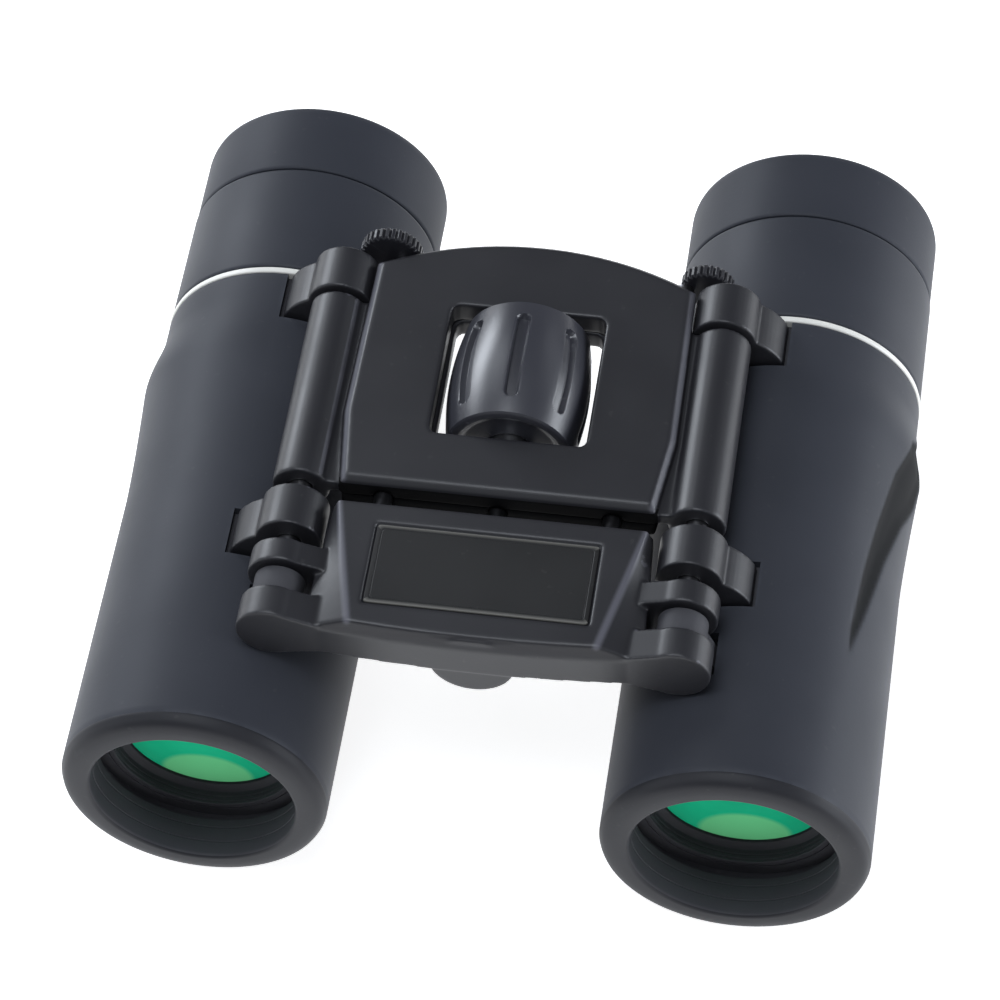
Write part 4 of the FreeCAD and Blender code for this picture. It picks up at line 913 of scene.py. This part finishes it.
half_run = calc(grooved, "SUBTRACT", calc(grooved, "DIVIDE", asked["Length"], 2.0), half_width)
beyond = calc(grooved, "MAXIMUM", calc(grooved, "SUBTRACT", from_y, half_run), 0.0)
away = calc(grooved, "SQRT", calc(grooved, "ADD", calc(grooved, "MULTIPLY", sideways, sideways),
                                  calc(grooved, "MULTIPLY", beyond, beyond)))
inside = calc(grooved, "SUBTRACT", 1.0, stepped(grooved, away, calc(
    grooved, "SUBTRACT", half_width, asked["Softness"]), half_width))
sunk = calc(grooved, "MULTIPLY", calc(grooved, "MULTIPLY", inside, asked["Depth"]), -1.0)
kept = calc(grooved, "GREATER_THAN", radial, asked["Least radius"])
shift = calc(grooved, "DIVIDE", calc(grooved, "MULTIPLY", sunk, kept),
             calc(grooved, "MAXIMUM", radial, 0.0001))
offset = grooved.nodes.new("ShaderNodeCombineXYZ")
grooved.links.new(calc(grooved, "MULTIPLY", from_x, shift), offset.inputs["X"])
grooved.links.new(calc(grooved, "MULTIPLY", from_z, shift), offset.inputs["Z"])
pressed = grooved.nodes.new("GeometryNodeSetPosition")
groove_real = grooved.nodes.new("GeometryNodeRealizeInstances")
groove_finish = grooved.nodes.new("GeometryNodeSetMaterial")
for start, end in (
    (asked["Turning"], pressed.inputs["Geometry"]),
    (offset.outputs[0], pressed.inputs["Offset"]),
    (pressed.outputs[0], groove_real.inputs[0]),
    (groove_real.outputs[0], groove_finish.inputs["Geometry"]),
    (asked["Finish"], groove_finish.inputs["Material"]),
    (groove_finish.outputs[0], groove_result.inputs["Grooved"]),
):
    grooved.links.new(start, end)

wheel_black = surface("wheel_black", (0.020, 0.020, 0.025), (0.017, 0.017, 0.022), (0.06, 0.06, 0.07),
                      0.33, 0.08, grains=2200.0, relief=5e-6, wear=0.5, dust=0.03)


TOOTH_DEPTH = 0.32
TOOTH_SOFTNESS = 0.18
GAP_SHARE = 0.52


def knurled(name, x, z, radius, start, end, teeth):
    """Disc with its edge cut into teeth and its rear face dished."""
    rows = 7
    run = [(0.0, start), (radius - 0.7, start, 0.1), (radius - 0.25, start + 0.05, 0.1)]
    run += [(radius, start + 0.3 + (end - start - 0.6) * row / rows) for row in range(rows + 1)]
    run += [(radius - 0.25, end - 0.05, 0.1), (radius - 0.9, end, 0.15), (radius - 1.2, end - 0.25, 0.1),
            (0.0, end - 0.25)]
    disc = turned(name, run, x, z, wheel_black, steps=teeth * 10, closed=False, sharp=30)
    place_x, place_y, place_z = placed(x, (start + end) / 2, z)
    pitch_length = 2 * math.pi * radius / teeth / 1000
    grown(disc, grooved, Count=teeth, Length=0.02, Width=GAP_SHARE * pitch_length,
          Depth=TOOTH_DEPTH / 1000, Softness=TOOTH_SOFTNESS / 1000, Axis_X=place_x, Axis_Z=place_z,
          Middle_Y=place_y, Least_radius=(radius - 0.4) / 1000, First_angle=0.0, Finish=wheel_black)
    return disc


for piece_name, node, x, z, radius, start, end, teeth, body in (
    ("left_cap", "left_knurled_cap", -20.4, 21.4, 4.2, 76.2, 78.2, 30, "bridge"),
    ("right_cap", "right_knurled_cap", 22.8, 20.6, 3.6, 76.2, 78.2, 26, "bridge"),
    ("nose_knurl", "nose_disc", 8.4, 19.4, 4.3, 14.2, 16.2, 30, "focus_yoke"),
):
    piece = knurled(piece_name, x, z, radius, start, end, teeth)
    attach(piece, body)
    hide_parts(node)
STEM = [(0.0, 72.2), (1.0, 72.2, 0.1), (1.2, 72.6, 0.1), (1.2, 76.3, 0.05), (0.0, 76.3)]
for piece_name, x in (("left_cap_stem", -18.8), ("right_cap_stem", 19.8)):
    piece = turned(piece_name, STEM, x, HINGE_Z, steel, steps=48, closed=False)
    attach(piece, "bridge")


# ---- focus wheel --------------------------------------------------------------------------------
# The wheel is barrel shaped, of harder and glossier black plastic. Eight long round-ended grooves
# give it grip, and both ends are dished round the hub that sits on the spindle.

WHEEL_Z = 19.5
WHEEL_MIDDLE = 56.2
WHEEL_RADIUS = 9.4
WHEEL_HALF = 9.5
CROWN_ROWS = 84
CROWN_CURVE = 82.0
crown = []
for step in range(CROWN_ROWS + 1):
    along = -WHEEL_HALF + 2 * WHEEL_HALF * step / CROWN_ROWS
    crown.append((WHEEL_RADIUS - along * along / CROWN_CURVE, WHEEL_MIDDLE + along))
wheel_profile = [(1.25, 47.5), (2.9, 47.5, 0.1), (3.2, 47.35, 0.1), (6.3, 47.35, 0.3), (6.9, 46.95, 0.25),
                 (7.05, 46.75, 0.15), (7.3, 46.7, 0.15), (8.0, 46.7, 0.3)]
wheel_profile += crown[1:-1]
wheel_profile += [(8.0, 65.7, 0.3), (7.3, 65.7, 0.15), (7.05, 65.65, 0.15), (6.9, 65.45, 0.25),
                  (6.3, 65.05, 0.3), (3.2, 65.05, 0.1), (2.9, 64.9, 0.1), (1.25, 64.9)]
wheel_satin = surface("wheel_satin", (0.042, 0.043, 0.054), (0.036, 0.037, 0.047), (0.12, 0.12, 0.14),
                      0.30, 0.08, grains=2200.0, relief=8e-6, wear=0.6, dust=0.03, specular=0.9)
wheel = turned("wheel", wheel_profile, 0.0, WHEEL_Z, wheel_satin, steps=400, sharp=40)
wheel_place = placed(0.0, WHEEL_MIDDLE, WHEEL_Z)
grown(wheel, grooved, Count=8, Length=0.0140, Width=0.0021, Depth=0.0008, Softness=0.00035,
      Axis_X=0.0, Axis_Z=wheel_place[2], Middle_Y=wheel_place[1], Least_radius=0.0082,
      First_angle=0.0, Finish=wheel_satin)
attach(wheel, "focus_wheel")
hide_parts("focus_wheel")


# ---- slider, its base and the label plate -------------------------------------------------------
# The slider rides on both hinge rods with forked ears and carries the objectives' fingers along. It
# is black plastic with a raised middle, closed from below by a thin plate. A blank label plate of
# dark painted metal is set into a recess in its top.

slider = soft_edged("slider", "focus_yoke", 0.21, 7, moulded_black)
# Painted highlight along the slider's two top ridges.
crest_highlight_lines = [((15.9 * side, 14.0, 24.25), (20.1 * side, 32.7, 24.25)) for side in (-1, 1)]
paint_edge_highlights(slider, crest_highlight_lines, 0.5)
# The slider's rear faces in the gap get painted shade.
paint_shade_within(slider, (-20.5, 31.6, 17.8), (20.5, 34.0, 23.2))
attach(slider, "focus_yoke")
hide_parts("focus_yoke")
dressed("yoke_base", moulded_black)

# Its lighter colour serves only the painted highlight lines; the plate has no wear.
plate_paint = surface("plate_paint", (0.0105, 0.0105, 0.011), (0.009, 0.009, 0.0095), (0.16, 0.155, 0.14),
                      0.42, 0.1, grains=4000.0, relief=3e-6, wear=0.0, dust=0.03)
plate_low, plate_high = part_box("label_plate")
PLATE_CORNER = 0.5
PLATE_INNER_HALF = 14.0
PLATE_HIGHLIGHT_WIDTH = 0.3
PLATE_HIGHLIGHT_SHARE = 0.8
outline = []
for corner_x, corner_y, start_angle in (
    (plate_high.x, plate_high.y, 0), (plate_low.x, plate_high.y, 90),
    (plate_low.x, plate_low.y, 180), (plate_high.x, plate_low.y, 270),
):
    inward_x = -1 if corner_x > 0 else 1
    inward_y = -1 if corner_y == plate_high.y else 1
    for step in range(7):
        angle = math.radians(start_angle + 15 * step)
        outline.append((corner_x * 1000 + PLATE_CORNER * (inward_x + math.cos(angle)),
                        (corner_y - FRONT) * 1000 + PLATE_CORNER * (inward_y + math.sin(angle))))
plate_mid_y = ((plate_low.y + plate_high.y) / 2 - FRONT) * 1000
floor_z = (plate_low.z - AXIS_Z) * 1000
top_z = (plate_high.z - AXIS_Z) * 1000
levels = [(0.0, floor_z), (0.0, top_z - 0.12), (0.06, top_z - 0.02), (0.14, top_z), (0.55, top_z),
          (0.62, top_z - 0.06), (0.72, top_z - 0.06), (0.79, top_z)]
plate_points = []
for inset, height in levels:
    for x, y in outline:
        share_x = 1 - inset / PLATE_INNER_HALF
        share_y = 1 - inset / ((plate_high.y - plate_low.y) * 500)
        plate_points.append((x * share_x, plate_mid_y + (y - plate_mid_y) * share_y, height))
corner_count = len(outline)
plate_faces = [list(range(corner_count))[::-1]]
for level in range(len(levels) - 1):
    for index in range(corner_count):
        onward = (index + 1) % corner_count
        a = level * corner_count
        plate_faces.append((a + index, a + onward, a + corner_count + onward, a + corner_count + index))
plate_faces.append([(len(levels) - 1) * corner_count + index for index in range(corner_count)])
plate_half = (plate_high.y - plate_low.y) * 500
# The plate's front and rear edges get a lighter line, a painted highlight of the recess edges.
plate_highlights = []
for level in range(len(levels)):
    for x, y in outline:
        at_end = abs(y - plate_mid_y) > plate_half - PLATE_HIGHLIGHT_WIDTH
        plate_highlights.append(PLATE_HIGHLIGHT_SHARE if level in (1, 2, 3) and at_end else 0.0)
plate = finished("blank_plate", plate_points, plate_faces, plate_paint, sharp=30,
                 values={"edge_line": plate_highlights})
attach(plate, "focus_yoke")
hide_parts("label_plate")


# ---- studio -------------------------------------------------------------------------------------
# A plain white floor under soft boxes: broad ones above and to the right, smaller ones to the left
# and behind, which draw the rounded edges of the dark plastics.

def soft_box(name, place, size, power):
    """Square area light that faces the object."""
    lamp = bpy.data.lights.new(name, "AREA")
    lamp.shape = "RECTANGLE"
    lamp.size, lamp.size_y = size
    lamp.energy = power
    lamp.color = (0.88, 0.93, 1.0)
    thing = bpy.data.objects.new(name, lamp)
    thing.location = place
    aim = Vector((0, 0, 0.02)) - Vector(place)
    thing.rotation_euler = aim.to_track_quat("-Z", "Y").to_euler()
    bpy.context.scene.collection.objects.link(thing)
    thing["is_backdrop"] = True


soft_box("left_box", (-0.66, -0.20, 0.40), (0.4, 0.4), 0.9)
soft_box("top_box", (-0.12, -0.15, 0.95), (0.6, 0.6), 4.6)
soft_box("rear_left_box", (-0.72, 0.58, 0.36), (0.5, 0.3), 4.6)
soft_box("rear_top_box", (-0.45, 0.55, 0.75), (0.3, 0.3), 0.6)
soft_box("rear_right_box", (0.55, 0.62, 0.50), (0.4, 0.35), 0.2)
soft_box("right_box", (0.82, 0.05, 0.20), (0.9, 0.3), 5.2)
soft_box("front_box", (0.10, -0.60, 0.55), (0.4, 0.3), 0.4)

floor_mesh = bpy.data.meshes.new("floor")
floor_mesh.from_pydata([(-4, -4, 0), (4, -4, 0), (4, 4, 0), (-4, 4, 0)], [], [(0, 1, 2, 3)])
floor = bpy.data.objects.new("floor", floor_mesh)
bpy.context.scene.collection.objects.link(floor)
floor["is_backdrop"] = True
floor_finish = bpy.data.materials.new("white_floor")
floor_finish.use_nodes = True
floor_shader = floor_finish.node_tree.nodes["Principled BSDF"]
floor_shader.inputs["Base Color"].default_value = (0.9, 0.9, 0.9, 1)
floor_shader.inputs["Roughness"].default_value = 0.6
floor_shader.inputs["Emission Color"].default_value = (1, 1, 1, 1)
floor_shader.inputs["Emission Strength"].default_value = 0.85
floor_mesh.materials.append(floor_finish)

world = bpy.data.worlds.new("studio")
world.use_nodes = True
bpy.context.scene.world = world
sky = world.node_tree.nodes["Background"]
sky.inputs["Color"].default_value = (1, 1, 1, 1)
sky_path = world.node_tree.nodes.new("ShaderNodeLightPath")
sky_level = calc(world.node_tree, "MULTIPLY_ADD", sky_path.outputs["Is Camera Ray"], 0.93, 0.07)
world.node_tree.links.new(sky_level, sky.inputs["Strength"])
bpy.context.scene.view_settings.view_transform = "Standard"

AZIMUTH = math.radians(10.143)
ELEVATION = math.radians(53.087)
ROLL = math.radians(-2.3376)
backward = Vector((math.sin(AZIMUTH) * math.cos(ELEVATION), -math.cos(AZIMUTH) * math.cos(ELEVATION),
                   math.sin(ELEVATION)))
level_x = Vector((0, 0, 1)).cross(backward).normalized()
level_y = backward.cross(level_x)
camera_x = math.cos(ROLL) * level_x + math.sin(ROLL) * level_y
camera_y = math.cos(ROLL) * level_y - math.sin(ROLL) * level_x
lens = bpy.data.cameras.new("camera")
lens.lens = 146.255
lens.sensor_width = 36.0
lens.clip_start = 0.01
camera = bpy.data.objects.new("camera", lens)
camera.rotation_mode = "QUATERNION"
turn_matrix = [[camera_x[row], camera_y[row], backward[row]] for row in range(3)]
camera.rotation_quaternion = Matrix(turn_matrix).to_quaternion()
camera.location = (0.055970, -0.327353, 0.460251)
bpy.context.scene.collection.objects.link(camera)
bpy.context.scene.camera = camera

low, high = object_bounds()
